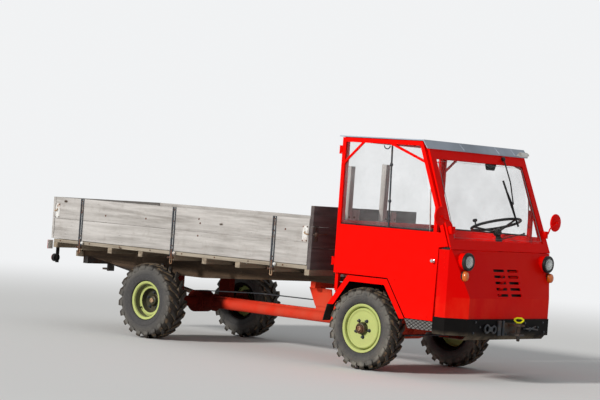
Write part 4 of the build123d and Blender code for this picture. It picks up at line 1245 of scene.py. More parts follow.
            # A darker well and a sleeve inside the barrel: dust and grime, and painted shade in the rim's depth.
            seat = self.flange_radius - self.flange_height
            sleeve = [(0.080, seat - 0.0085), (0.0285, seat - 0.0112), (0.0285, seat - 0.0135), (0.080, seat - 0.011)]
            models["rim_well"] = (spun("well_model", self.well_outline, 48), Finish.RIM_SHADE)
            models["rim_barrel"] = (spun("barrel_model", sleeve, 64), Finish.RIM_BARREL)
        for side in Side:
            corner = f"{self.axle.value}_{side.word}"
            body = f"wheel_{corner}"
            middle = Matrix.Translation((axle_x, side.value * self.track_half, self.axle_height))
            turn = Matrix.Identity(4) if side is Side.RIGHT else Matrix.Rotation(pi, 4, "Z")
            lugged = copied(tyre, f"lugged_tyre_{corner}", middle)
            fit(lugged, rubber, body, [f"tyre_{corner}"])
            for name, (model, finish) in models.items():
                piece = copied(model, f"{name}_{corner}", middle @ turn @ upright)
                stands_for = [f"rim_{corner}"] if name == "rim_shell" else []
                fit(piece, finish, body, stands_for)
        for model in [tyre, *(model for model, _ in models.values())]:
            bpy.data.objects.remove(model)


# Timber bed


@dataclass(frozen=True)
class TimberBed:
    """Drop sides, tailboard, headboard and floor of the bed, plank by plank, with their irons.

    Attributes:
        rear_x: The bed's rear end.
        front_x: Where the floor meets the headboard.
        rear_axle_x: Where the rear axle is.
    """

    rear_x: float
    front_x: float
    rear_axle_x: float

    # Heights above the floor, and sizes of boards and irons
    half: float = 0.790
    board: float = 0.030
    low: float = 0.906
    high: float = 1.342
    joint: float = 1.118
    floor_top: float = 0.900
    floor_under: float = 0.865
    hinge_z: float = 0.838
    hinge_out: float = 0.016
    iron_half: float = 0.023
    iron_depth: float = 0.008
    gap_half: float = 0.0012
    latch_z: float = 1.199
    iron_bolt_zs: tuple[float, ...] = (0.955, 1.20, 1.315)

    @property
    def iron_xs(self) -> list[float]:
        """Places of the drop sides' irons."""
        return [self.rear_axle_x - 1.045 + index * 0.4475 for index in (0, 3, 6)]

    def plank(self, name: str, low: Sequence[float], high: Sequence[float], lengthwise: int, seed: int) -> Piece:
        """Saw a plank: long faces a little uneven, edges worn round.

        Args:
            name: The piece's name.
            low: Lowest corner.
            high: Highest corner.
            lengthwise: Index of the axis along which it runs.
            seed: Seed of its unevenness.

        Returns:
            The plank.
        """
        piece = block(name, low, high)
        with editing(piece, "EDGE"):
            pick_edges(piece, lengthwise)
            bpy.ops.mesh.subdivide(number_cuts=9)
            bpy.ops.mesh.select_all(action="SELECT")
            bpy.ops.transform.vertex_random(offset=0.0016, seed=seed)
        return soften(piece, 0.003, 2)

    def iron(self) -> Piece:
        """Channel iron on a board's outer face: its web against the board, twin flanges, a solid foot.

        Returns:
            The iron at the origin, facing +Y, at its own height.
        """
        piece = block("iron", (-self.iron_half, 0, self.hinge_z - 0.008), (self.iron_half, self.iron_depth, self.high))
        with editing(piece):
            for cut in (-0.010, 0.010):
                bpy.ops.mesh.select_all(action="SELECT")
                bpy.ops.mesh.bisect(plane_co=(cut, 0, 0), plane_no=(1, 0, 0))
            bpy.ops.mesh.select_all(action="SELECT")
            bpy.ops.mesh.bisect(plane_co=(0, 0, 0.900), plane_no=(0, 0, 1))
            pick_faces(piece, lambda middle, normal: normal.y > 0.9 and abs(middle.x) < 0.009 and middle.z > 0.9)
            pull((0, -0.005, 0))
        return soften(piece, 0.0012, 2)

    def eye(self) -> Piece:
        """Rolled eye and its tapered strap, about the hinge pin at the origin, the pin along X.

        Returns:
            The eye.
        """
        outline = [(-0.014, 0.0065), (-0.014, 0.0105), (-0.012, 0.0112)]
        outline += [(0.012, 0.0112), (0.014, 0.0105), (0.014, 0.0065)]
        barrel = moved(spun("eye", outline, 20), Matrix.Rotation(radians(90), 4, "Y"))
        strap = block("strap", (-0.012, -0.013, 0.0), (0.012, -0.006, 0.085))
        with editing(strap):
            pick_faces(strap, lambda middle, normal: normal.z > 0.9)
            bpy.ops.transform.resize(value=(0.55, 1, 1))
        return joined("eye", [barrel, soften(strap, 0.0015, 2)])

    def web(self) -> Piece:
        """Pale strip along one half of an iron's channel, at the origin, facing +Y, at its own height."""
        piece = block("web", (-0.0092, 0.0022, 0.906), (-0.0022, 0.0036, self.high - 0.002))
        return soften(piece, 0.0005, 1)

    def staple(self) -> Piece:
        """Bent loop that hangs under a hinge, about the hinge pin at the origin."""
        line = [(-0.013, -0.010, -0.002), (-0.013, -0.010, -0.062), (0.013, -0.010, -0.062), (0.013, -0.010, -0.002)]
        return tube("staple", eased(line, 0.012), 0.0048)

    def latch(self) -> Piece:
        """Pressed latch plate with its bent edges and a slot, standing on the origin along Z and facing +Y.

        Returns:
            The plate.
        """
        piece = block("latch", (-0.032, 0, -0.076), (0.032, 0.003, 0.076))
        with editing(piece):
            pick_faces(piece, lambda middle, normal: normal.y > 0.9)
            bpy.ops.mesh.inset(thickness=0.005)
            bpy.ops.mesh.inset(thickness=0.003, depth=0.004)
            bpy.ops.mesh.inset(thickness=0.014)
            bpy.ops.mesh.inset(thickness=0.003, depth=-0.005)
        return soften(piece, 0.0008, 1)

    def hook(self, reach: float) -> Piece:
        """Hook that runs along X, as far as reach says, from a latch plate at the origin, facing +Y."""
        bend = [(reach * 0.4, 0.018, 0), (reach, 0.014, -0.002), (reach, 0.002, -0.002)]
        return tube("hook", eased([(0, 0.004, 0.020), (0, 0.016, 0.006), *bend], 0.010), 0.006)

    def drop_side(self, side: Side) -> None:
        """Build one drop side.

        Args:
            side: The side.
        """
        word = side.word
        body = f"sideboard_{word}"
        x0, x1 = self.rear_x + 0.044, self.front_x - 0.006
        near, far = span(side, self.half - self.board, self.half)
        planks = [
            self.plank("lower_plank", (x0, near, self.low), (x1, far, self.joint - self.gap_half), 0, 3 + side.value),
            self.plank("upper_plank", (x0, near, self.joint + self.gap_half), (x1, far, self.high), 0, 13 + side.value),
        ]
        fit(joined(f"side_planks_{word}", planks), Finish.GREY_BOARDS, body, [body])
        out = Matrix.Identity(4) if side is Side.LEFT else Matrix.Rotation(pi, 4, "Z")
        face = side.value * self.half
        pin_y = side.value * (self.half + self.hinge_out)
        irons = [Matrix.Translation((x, face, 0)) @ out for x in self.iron_xs]
        fit(scattered(f"side_irons_{word}", self.iron(), irons), Finish.DARK_IRON, body)
        fit(scattered(f"side_iron_webs_{word}", self.web(), irons), Finish.WHITE_ZINC, body)
        pins = [Matrix.Translation((x, pin_y, self.hinge_z)) @ out for x in self.iron_xs]
        fit(scattered(f"side_hinge_eyes_{word}", self.eye(), pins), Finish.RUSTY_IRON, body)
        fit(scattered(f"side_staples_{word}", self.staple(), pins), Finish.TAN_IRON)
        latch_xs = (x0 + 0.036, x1 - 0.044)
        plates = [Matrix.Translation((x, face, self.latch_z)) @ out for x in latch_xs]
        fit(scattered(f"side_latches_{word}", self.latch(), plates), Finish.WHITE_ZINC, body)
        hooks = [
            moved(self.hook(way * side.value * reach), place)
            for place, way, reach in zip(plates, (-1, 1), (0.034, 0.046))
        ]
        fit(joined(f"side_hooks_{word}", hooks), Finish.TAN_IRON, body)
        heads = [(x, z) for x in self.iron_xs for z in self.iron_bolt_zs]
        heads += [(x + dx, self.latch_z + dz) for x in latch_xs for dx in (-0.024, 0.024) for dz in (-0.066, 0.066)]
        bolts = [facing((0, side.value, 0), (x, face + side.value * 0.003, z)) for x, z in heads]
        fit(scattered(f"side_bolts_{word}", bolt_head(0.006, 0.005), bolts), Finish.RUSTY_IRON, body)
        studs = [facing((0, side.value, 0), (x + 0.040, face + side.value * 0.006, 0.885)) for x in self.iron_xs]
        fit(scattered(f"side_studs_{word}", bolt_head(0.013, 0.014), studs), Finish.WHITE_ZINC)
        nails = [(-0.62, 1.245), (-0.60, 1.205), (-0.62, 1.080), (-1.95, 1.190), (0.52, 1.225), (-1.36, 1.20)]
        spots = [facing((0, side.value, 0), (x, face, z)) for x, z in nails]
        fit(scattered(f"side_nails_{word}", round_nail(0.010, 0.003), spots), Finish.RUSTY_IRON, body)

    def tail(self) -> None:
        """Build the tailboard."""
        body = "tailboard"
        x0, x1 = self.rear_x + self.iron_depth, self.rear_x + self.iron_depth + self.board
        planks = [
            self.plank("tail_low", (x0, -self.half, self.low), (x1, self.half, self.joint - self.gap_half), 1, 31),
            self.plank("tail_high", (x0, -self.half, self.joint + self.gap_half), (x1, self.half, self.high), 1, 32),
        ]
        fit(joined("tail_planks", planks), Finish.CROSS_BOARDS, body, [body])
        back = Matrix.Rotation(radians(90), 4, "Z")
        ys = (-0.560, 0.0, 0.560)
        irons = [Matrix.Translation((x0, y, 0)) @ back for y in ys]
        fit(scattered("tail_irons", self.iron(), irons), Finish.DARK_IRON, body)
        fit(scattered("tail_iron_webs", self.web(), irons), Finish.WHITE_ZINC, body)
        pins = [Matrix.Translation((self.rear_x + 0.011, y, self.hinge_z)) @ back for y in ys]
        fit(scattered("tail_hinge_eyes", self.tail_eye(), pins), Finish.RUSTY_IRON, body)
        heads = [facing((-1, 0, 0), (x0 - 0.003, y, z)) for y in ys for z in self.iron_bolt_zs]
        fit(scattered("tail_bolts", bolt_head(0.007, 0.0055), heads), Finish.RUSTY_IRON, body)

    def tail_eye(self) -> Piece:
        """Rolled eye of a tailboard iron, about the hinge pin at the origin, the pin along X.

        Returns:
            The eye.
        """
        outline = [(-self.iron_half, 0.0065), (-self.iron_half, 0.010), (-0.021, 0.0108)]
        outline += [(0.021, 0.0108), (self.iron_half, 0.010), (self.iron_half, 0.0065)]
        return moved(spun("tail_eye", outline, 20), Matrix.Rotation(radians(90), 4, "Y"))

    def head(self) -> None:
        """Build the headboard with its posts and battens."""
        back, front = self.front_x, self.front_x + 0.040
        levels = [0.865, 1.066, 1.268, 1.468]
        planks = [
            self.plank("head", (back, -self.half, low + 0.001), (front, self.half, high - 0.001), 1, 41 + index)
            for index, (low, high) in enumerate(zip(levels, levels[1:]))
        ]
        fit(joined("headboard_planks", planks), Finish.BROWN_BOARDS, CHASSIS, ["headboard"])
        uprights = [(0.213, 0.032, 0.055, 1.912), (-0.322, 0.032, 0.055, 1.868)]
        uprights += [(0.387, 0.042, 0.028, 1.456), (-0.202, 0.058, 0.028, 1.456)]
        posts = [
            self.plank("post", (front, y - half, 0.810), (front + depth, y + half, top), 2, 51 + index)
            for index, (y, half, depth, top) in enumerate(uprights)
        ]
        fit(joined("headboard_posts", posts), Finish.GREY_POSTS)
        heads = [
            facing((1, 0, 0), (front + depth, y + 0.4 * half * (-1) ** index, z))
            for index, (y, half, depth, top) in enumerate(uprights)
            for z in (0.93, 1.16, 1.38)
        ]
        fit(scattered("headboard_bolts", bolt_head(0.009, 0.007), heads), Finish.RUSTY_IRON)
        turn = Matrix.Rotation(radians(-90), 4, "Z")
        places = [Matrix.Translation((front, side.value * 0.738, 1.205)) @ turn for side in Side]
        fit(scattered("headboard_catches", self.latch(), places), Finish.CAST_IRON)
        parts = []
        for side in Side:
            sign = side.value
            line = [(0.012, 0.790, 1.197), (0.020, 0.740, 1.198), (0.012, 0.590, 1.205)]
            parts.append(tube("catch_pin", [(front + out, sign * y, z) for out, y, z in line], 0.0055))
            boss = [(0, 0), (0, 0.022), (0.020, 0.020), (0.026, 0.012), (0.026, 0)]
            parts.append(moved(spun("catch_boss", boss, 16), facing((1, 0, 0), (front, sign * 0.744, 1.197))))
        fit(joined("headboard_catch_pins", parts), Finish.RUSTY_IRON)

    def floor(self) -> None:
        """Lay the floor planks, and the bolts in their outer edges."""
        x0, x1, edge = self.rear_x + 0.044, self.front_x, self.half - 0.006
        count = 9
        width = 2 * edge / count
        planks = []
        for index in range(count):
            low = (x0, -edge + index * width + self.gap_half, self.floor_under)
            high = (x1, -edge + (index + 1) * width - self.gap_half, self.floor_top)
            planks.append(self.plank("floor", low, high, 0, 61 + index))
        fit(joined("floor_planks", planks), Finish.FLOOR_BOARDS, CHASSIS, ["bed_floor"])
        places = [
            facing((0, side.value, 0), (x0 + 0.10 + step * 0.447, side.value * edge, 0.884))
            for side in Side
            for step in range(8)
        ]
        fit(scattered("floor_edge_bolts", round_nail(0.008, 0.004), places), Finish.RUSTY_IRON)

    def build(self) -> None:
        """Build the whole bed."""
        for side in Side:
            self.drop_side(side)
        self.tail()
        self.head()
        self.floor()


# Cab and its fittings


@dataclass(frozen=True)
class Cab:
    """Trim and fittings of the cab: doors, windscreen, roof, nose, lamps, mirrors and bumper.

    Attributes:
        axle_x: Where the front axle is.
    """

    axle_x: float

    # Heights above the floor, and reaches forwards from the axle
    half: float = 0.790
    seam_z: float = 1.182
    seam_reach: float = 0.970
    lean: float = 0.396
    sill_z: float = 1.322
    bumper_reach: float = 1.110

    def screen_point(self, y: float, z: float, proud: float = 0.0) -> Vector:
        """Point at some Y and Z on the windscreen's outer plane, or standing proud of it."""
        point = Vector((self.axle_x + self.seam_reach - (z - self.seam_z) * self.lean, y, z))
        return point + Vector((1, 0, self.lean)).normalized() * proud

    def door(self, side: Side) -> None:
        """Fit one door's sill strip, divider, glass edge, knob and rivets.

        Args:
            side: The side.
        """
        fa, word = self.axle_x, side.word
        body = f"door_{word}"
        inner, outer = span(side, self.half - 0.020, self.half - 0.006)
        sill = block(f"sill_strip_{word}", (fa - 0.318, inner, self.sill_z), (fa + 0.728, outer, self.sill_z + 0.013))
        fit(soften(sill, 0.003), Finish.BLACK_PLASTIC, body)
        rail_y = side.value * (self.half - 0.013)
        if side is Side.RIGHT:
            line = [(fa + 0.240, rail_y, self.sill_z + 0.006), (fa + 0.217, rail_y, 2.074)]
            divider = tube("window_divider", line, 0.0085)
            stop = [(-0.014, 0), (-0.014, 0.011), (0, 0.016), (0.014, 0.011), (0.014, 0)]
            knots = [
                moved(spun("divider_stop", stop, 12), Matrix.Translation((x, rail_y, z)))
                for x, z in ((fa + 0.222, 1.898), (fa + 0.233, 1.566))
            ]
            fit(joined("window_divider", [divider, *knots]), Finish.DARK_IRON, body)
            ring = [
                (fa + 0.158 + 0.034 * cos(angle), rail_y, 2.070 - 0.030 * sin(angle))
                for angle in (pi * index / 10 for index in range(11))
            ]
            fit(tube("window_ring", ring, 0.005), Finish.DARK_IRON, body)
        corners = [(fa + 0.712, self.sill_z), (fa + 0.720, self.sill_z), (fa + 0.690, 1.700), (fa + 0.682, 1.700)]
        edge = plate(f"glass_edge_{word}", [(x, inner, z) for x, z in corners], (0, outer - inner, 0))
        fit(soften(edge, 0.0015), Finish.ZINC, body)
        outline = [(0, 0), (0, 0.013), (0.004, 0.014), (0.006, 0.009), (0.016, 0.008), (0.020, 0.013)]
        outline += [(0.027, 0.017), (0.034, 0.0165), (0.039, 0.011), (0.040, 0)]
        knob = spun(f"door_knob_{word}", outline, 24)
        fit(moved(knob, facing((0, side.value, 0), (fa + 0.789, side.value * self.half, 1.064))), Finish.CHROME, body)
        face = side.value * self.half
        studs = [(fa + 0.790, 1.018), (fa + 0.755, 0.560), (fa + 0.800, 0.690), (fa - 0.330, 0.905), (fa - 0.335, 1.30)]
        studs += [(fa + 0.262 - 0.42, 0.892), (fa + 0.36, 0.86), (fa + 0.500, 0.560), (fa + 0.10, 0.905)]
        places = [facing((0, side.value, 0), (x, face, z)) for x, z in studs]
        fit(scattered(f"door_studs_{word}", bolt_head(0.006, 0.005), places), Finish.CAB_RED, body)

    def windscreen(self) -> None:
        """Fit the windscreen's rubber, its wiper and the wiper's motor."""
        low, high = self.seam_z + 0.086, 1.980
        corners = [self.screen_point(y, z) for y, z in ((-0.709, low), (0.709, low), (0.679, high), (-0.679, high))]
        inwards = Vector((-1, 0, -self.lean)).normalized() * 0.006
        rubber = plate("screen_rubber", corners, inwards)
        with editing(rubber):
            pick_faces(rubber, lambda middle, normal: abs(normal.x) > 0.8)
            bpy.ops.mesh.inset(thickness=0.020)
            bpy.ops.mesh.delete(type="FACE")
            bpy.ops.mesh.select_all(action="SELECT")
        with editing(rubber, "EDGE"):
            bpy.ops.mesh.select_non_manifold()
            bpy.ops.mesh.bridge_edge_loops()
            bpy.ops.mesh.select_all(action="SELECT")
            bpy.ops.mesh.normals_make_consistent()
        fit(soften(rubber, 0.0014, 1), Finish.GREY_STRIP)
        pivot = self.screen_point(0.372, 2.030, 0.016)
        elbow = self.screen_point(0.372, 1.810, 0.026)
        arm_end = self.screen_point(0.345, 1.610, 0.016)
        arm = tube("wiper_arm", [pivot, elbow, arm_end], 0.0065)
        tip, heel = self.screen_point(0.286, 1.828, 0.008), self.screen_point(0.350, 1.410, 0.008)
        middle = tip.lerp(heel, 0.5) + Vector((0.014, 0, 0.005))
        blade = tube("wiper_blade", [tip, heel], 0.0095)
        back = tube("wiper_back", [tip.lerp(heel, 0.1), middle, tip.lerp(heel, 0.9)], 0.005)
        boss_outline = [(-0.020, 0), (-0.020, 0.020), (0.004, 0.020), (0.012, 0.014), (0.012, 0)]
        boss = moved(spun("wiper_boss", boss_outline, 20), facing((1, 0, self.lean), pivot))
        fit(joined("wiper", [arm, blade, back, boss]), Finish.BLACK_PLASTIC)
        motor = block("wiper_motor", (self.axle_x + 0.615, 0.118, 1.918), (self.axle_x + 0.648, 0.268, 1.975))
        with editing(motor):
            pick_faces(motor, lambda middle, normal: normal.z < -0.9)
            bpy.ops.transform.resize(value=(0.8, 0.72, 1))
        fit(soften(motor, 0.006), Finish.BLACK_PLASTIC)

    def roof(self) -> None:
        """Fold the seams of the roof's front facet and its gutter strip."""
        low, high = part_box("roof")
        front, lip_z = high.x, low.z
        bend_x = self.axle_x + 0.578
        top = high.z
        seams = []
        for y in (-0.26, 0.30, 0.56):
            start, end = Vector((bend_x, y, top - 0.0035)), Vector((front - 0.004, y + 0.03, lip_z + 0.010))
            seams.append(tube("roof_seam", [start, start.lerp(end, 0.5), end], 0.0045))
        fit(joined("roof_seams", seams), Finish.ROOF_GREY)
        strip = block("roof_lip", (front - 0.012, -0.786, lip_z - 0.004), (front + 0.001, 0.786, lip_z + 0.004))
        fit(soften(strip, 0.002), Finish.ROOF_GREY)
        bend, lip = Vector((bend_x, 0, top)), Vector((front, 0, lip_z))
        outline = [(0.85, 0.605), (0.36, 0.700), (0.34, 0.826), (0.50, 0.840), (0.72, 0.836), (0.96, 0.770)]
        outline += [(0.97, 0.690)]
        corner = [bend.lerp(lip, share) + Vector((0, y, 0)) for share, y in outline]
        bent = plate("bent_corner", corner, (0.0018, 0, 0.0022))
        fit(soften(bent, 0.0008, 1), Finish.WHITE_ZINC)

    def nose(self) -> None:
        """Rivet the nose, bend the flaps in its vents, and put black plates behind the vents and in its top corners as
        painted shade.
        """
        fa = self.axle_x
        rivets = [
            facing((0, side.value, 0), (fa + 0.905 + 0.003 * step, side.value * self.half, 1.145 - 0.043 * step))
            for side in Side
            for step in range(4)
        ]
        fit(scattered("nose_rivets", round_nail(0.007, 0.004), rivets), Finish.CAB_RED)
        flaps = []
        rows = [
            (1.000, 0.073, 0.168, 0.014), (0.952, -0.078, -0.043, 0.020), (0.948, 0.066, 0.172, 0.016),
            (0.897, -0.098, -0.046, 0.020), (0.842, -0.135, -0.076, 0.022), (0.787, -0.165, -0.123, 0.022),
        ]
        knee_x, knee_z = fa + 1.100, 0.760
        slope = (self.seam_reach - 1.100) / (self.seam_z - knee_z)
        for z, start, end, height in rows:
            x = knee_x + (z - knee_z) * slope
            flap = block("vent_flap", (x - 0.016, start, z - height / 2), (x - 0.004, end, z + height / 2))
            with editing(flap):
                pick_faces(flap, lambda middle, normal: normal.z < -0.9)
                bpy.ops.transform.translate(value=(-0.010, 0, 0))
            flaps.append(soften(flap, 0.0015, 1))
        fit(joined("vent_flaps", flaps), Finish.NOSE_RED)
        # Black plate behind the vents: painted shade in the nose.
        low_x, high_x = knee_x - 0.030, knee_x - 0.030 + (1.040 - knee_z) * slope
        corners = [(low_x, -0.220, knee_z), (low_x, 0.220, knee_z), (high_x, 0.220, 1.040), (high_x, -0.220, 1.040)]
        vent_shade = plate("vent_duct", corners, (-0.030, 0, 0))
        with editing(vent_shade):
            pick_faces(vent_shade, lambda middle, normal: normal.x > 0.8)
            bpy.ops.mesh.inset(thickness=0.006)
            bpy.ops.mesh.inset(thickness=0.002, depth=-0.012)
        fit(vent_shade, Finish.BLACK_PLASTIC)
        # Black plates in the nose's top corners: painted shade in the gaps.
        corner_shades = []
        for side in Side:
            y = side.value * (self.half - 0.001)
            corners = [(fa + 0.846, y, 1.176), (fa + 0.952, y, 1.176), (fa + 0.962, y, 1.198), (fa + 0.900, y, 1.192)]
            corner_shades.append(plate("gap", corners, (0, -side.value * 0.012, 0)))
        fit(joined("nose_top_gaps", corner_shades), Finish.BLACK_PLASTIC)

    def arches(self) -> None:
        """Close the upper part of the wheel arches inwards, clear of the steered tyres, with black sheets that are
        painted shade.
        """
        fa = self.axle_x
        bend, top, foot = (fa - 0.309, 0.702), (fa - 0.194, 0.850), (fa - 0.440, 0.590)
        wall = [(fa - 0.600, 0.590), (fa - 0.600, 0.720), top, (fa + 0.270, 0.850), (fa + 0.376, 0.702), bend, foot]
        for side in Side:
            inner, outer = side.value * 0.455, side.value * 0.680
            parts = [plate("arch_wall", [(x, inner, z) for x, z in wall], (0, -side.value * 0.003, 0))]
            for (x, z), thickness in ((top, (0.003, 0, -0.002)), (foot, (-0.002, 0, 0.002))):
                corners = [(bend[0], outer, bend[1]), (x, outer, z), (x, inner, z), (bend[0], inner, bend[1])]
                parts.append(plate("arch_slope", corners, thickness))
            fit(joined(f"arch_lining_{side.word}", parts), Finish.ARCH_BLACK)

    def lamps(self) -> None:
        """Build the headlamps and the indicators."""
        face_x = self.axle_x + self.bumper_reach - 0.036
        ring = [(-0.030, 0.0735), (-0.030, 0.080), (-0.022, 0.082), (-0.008, 0.081), (0.000, 0.0755), (0.001, 0.061)]
        ring += [(-0.005, 0.058), (-0.012, 0.062)]
        lens = [(-0.010, 0), (-0.010, 0.0585), (-0.004, 0.058), (0.004, 0.049), (0.009, 0.032), (0.011, 0)]
        bowl = [(-0.0138, 0.059), (-0.030, 0.049), (-0.044, 0.031), (-0.050, 0.011), (-0.050, 0), (-0.052, 0)]
        bowl += [(-0.052, 0.013), (-0.046, 0.035), (-0.032, 0.053), (-0.0138, 0.0615)]
        shell = [(-0.122, 0), (-0.122, 0.066), (-0.112, 0.074), (-0.034, 0.0755), (-0.030, 0.0765), (-0.014, 0.074)]
        shell += [(-0.0142, 0.063), (-0.034, 0.056), (-0.060, 0.040), (-0.068, 0)]
        foot = [(-0.072, 0), (-0.072, 0.027), (-0.036, 0.029), (-0.034, 0.032), (-0.028, 0.032), (-0.028, 0)]
        dome = [(-0.030, 0), (-0.030, 0.031), (-0.012, 0.0305), (0.004, 0.027), (0.013, 0.018), (0.017, 0)]
        oval = Matrix.Diagonal((1.0, 1.45, 1.0, 1.0))
        for side in Side:
            place = facing((1, 0, 0), (face_x, side.value * 0.634, 1.078))
            spot = facing((1, 0, 0), (self.axle_x + self.bumper_reach - 0.030, side.value * 0.675, 0.950)) @ oval
            replaced = ["front_lamps"] if side is Side.RIGHT else []
            fit(moved(spun(f"lamp_pod_{side.word}", shell, 40), place), Finish.CAB_RED, CHASSIS, replaced)
            for name, outline, steps, at, finish in (
                ("lamp_ring", ring, 48, place, Finish.BLACK_PLASTIC),
                ("lamp_lens", lens, 48, place, Finish.LAMP_GLASS),
                ("lamp_bowl", bowl, 48, place, Finish.CHROME),
                ("indicator_foot", foot, 28, spot, Finish.BLACK_PLASTIC),
                ("indicator_dome", dome, 28, spot, Finish.AMBER_GLASS),
            ):
                fit(moved(spun(f"{name}_{side.word}", outline, steps), at), finish)

    def mirrors(self) -> None:
        """Build the round mirrors on their bent arms."""
        shell = [(-0.0098, 0), (-0.0098, 0.079), (-0.0104, 0.0845), (-0.004, 0.085), (0.003, 0.0815)]
        shell += [(0.0075, 0.066), (0.0095, 0.030), (0.0098, 0)]
        glass = [(-0.0112, 0), (-0.0112, 0.0765), (-0.0096, 0.0785), (-0.0096, 0)]
        for side in Side:
            sign = side.value
            head = (self.axle_x + self.seam_reach - 0.045, sign * 0.915, 1.470)
            clamp = self.screen_point(sign * 0.738, 1.350)
            disc = moved(spun("mirror_disc", shell, 44), facing((1, 0, 0), head))
            elbow = (clamp.x + 0.046, sign * 0.758, 1.360)
            knee = (clamp.x + 0.046, sign * 0.786, 1.416)
            arm = tube("mirror_arm", eased([elbow, knee, (head[0] + 0.012, head[1], head[2])], 0.03), 0.0068)
            near, far = span(side, 0.718, 0.758)
            foot = block("mirror_clamp", (clamp.x - 0.006, near, 1.316), (clamp.x + 0.046, far, 1.384))
            with editing(foot):
                pick_faces(foot, lambda middle, normal: normal.x > 0.9)
                bpy.ops.mesh.inset(thickness=0.008, depth=0.006)
            x, y, z = head
            bracket = block("mirror_bracket", (x + 0.008, y - 0.017, z - 0.010), (x + 0.020, y + 0.017, z + 0.010))
            stud = moved(bolt_head(0.007, 0.008), facing((1, 0, 0), (x + 0.020, y, z)))
            replaced = ["mirrors"] if side is Side.RIGHT else []
            parts = [disc, arm, soften(foot, 0.003), soften(bracket, 0.003), stud]
            fit(joined(f"mirror_{side.word}", parts), Finish.CAB_RED, CHASSIS, replaced)
            fit(moved(spun(f"mirror_glass_{side.word}", glass, 44), facing((1, 0, 0), head)), Finish.CHROME)

    def bumper(self) -> None:
        """Fit the bumper's bolts, shackle, plates, jaw bolts, lever and the pin's ring."""
        face = self.axle_x + self.bumper_reach
        heads = [(-0.531, 0.547), (-0.461, 0.502), (0.246, 0.536), (0.459, 0.496), (0.535, 0.539)]
        heads += [(-0.56, 0.45), (0.56, 0.45)]
        bolts = [facing((1, 0, 0), (face, y, z)) for y, z in heads]
        jaw_bolts = [facing((1, 0, 0), (face + 0.014, y, z)) for y in (-0.075, 0.075) for z in (0.438, 0.524)]
        fit(scattered("bumper_bolts", bolt_head(0.009, 0.008), bolts + jaw_bolts), Finish.DARK_IRON)
        links = []
        for y, z, radius in ((-0.367, 0.487, 0.034), (-0.262, 0.480, 0.030)):
            loop = [
                (face + 0.014, y + radius * cos(angle), z + radius * sin(angle))
                for angle in (2 * pi * step / 20 for step in range(20))
            ]
            links.append(tube("shackle", loop, 0.0095, closed=True))
        links.append(soften(block("shackle_base", (face, -0.336, 0.462), (face + 0.022, -0.294, 0.506)), 0.004))
        fit(joined("tow_shackles", links), Finish.DARK_IRON)
        plates = []
        for near, far in ((-0.196, -0.150), (-0.126, -0.100)):
            rib = block("bumper_rib", (face, near, 0.424), (face + 0.016, far, 0.560))
            with editing(rib):
                pick_faces(rib, lambda middle, normal: normal.x > 0.9)
                bpy.ops.mesh.inset(thickness=0.004, depth=0.004)
            plates.append(soften(rib, 0.002))
        fit(joined("bumper_ribs", plates), Finish.DARK_IRON)
        line = [(face + 0.004, 0.222, 0.484), (face + 0.030, 0.232, 0.486), (face + 0.032, 0.330, 0.484)]
        lever = tube("pin_lever", eased([*line, (face + 0.024, 0.425, 0.474)], 0.015), 0.008)
        tongue = tube("pin_tongue", [(face + 0.030, 0.300, 0.486), (face + 0.030, 0.380, 0.506)], 0.006)
        outline = [(0, 0), (0, 0.020), (0.022, 0.020), (0.026, 0.014), (0.026, 0)]
        hub = moved(spun("lever_hub", outline, 20), facing((1, 0, 0), (face, 0.300, 0.482)))
        fit(joined("latch_lever", [lever, tongue, hub]), Finish.DARK_IRON)
        pin_x = face + 0.104
        shaft = [(0.380, 0), (0.380, 0.011), (0.388, 0.0158), (0.5335, 0.0158), (0.5335, 0.021)]
        shaft += [(0.541, 0.0215), (0.5435, 0.018), (0.5435, 0)]
        pin = moved(spun("pin_shaft", shaft, 24), Matrix.Translation((pin_x, 0, 0)))
        fit(pin, Finish.CAST_IRON, CHASSIS, ["tow_pin"])
        corners = [(-0.018, 0.549), (0.018, 0.549), (0.040, 0.570), (0.040, 0.580), (0.020, 0.591)]
        corners += [(-0.020, 0.591), (-0.040, 0.580), (-0.040, 0.570)]
        across = Vector((cos(radians(41)), sin(radians(41)), 0))
        places = [Vector((pin_x - 0.003, 0, z)) + across * out for out, z in corners]
        fit(tube("pin_ring", places, 0.0092, closed=True), Finish.RING_YELLOW)

    def build(self) -> None:
        """Fit out the whole cab."""
        for side in Side:
            self.door(side)
        self.windscreen()
        self.roof()
        self.nose()
        self.arches()
        self.lamps()
        self.mirrors()
        self.bumper()


# Driver's place


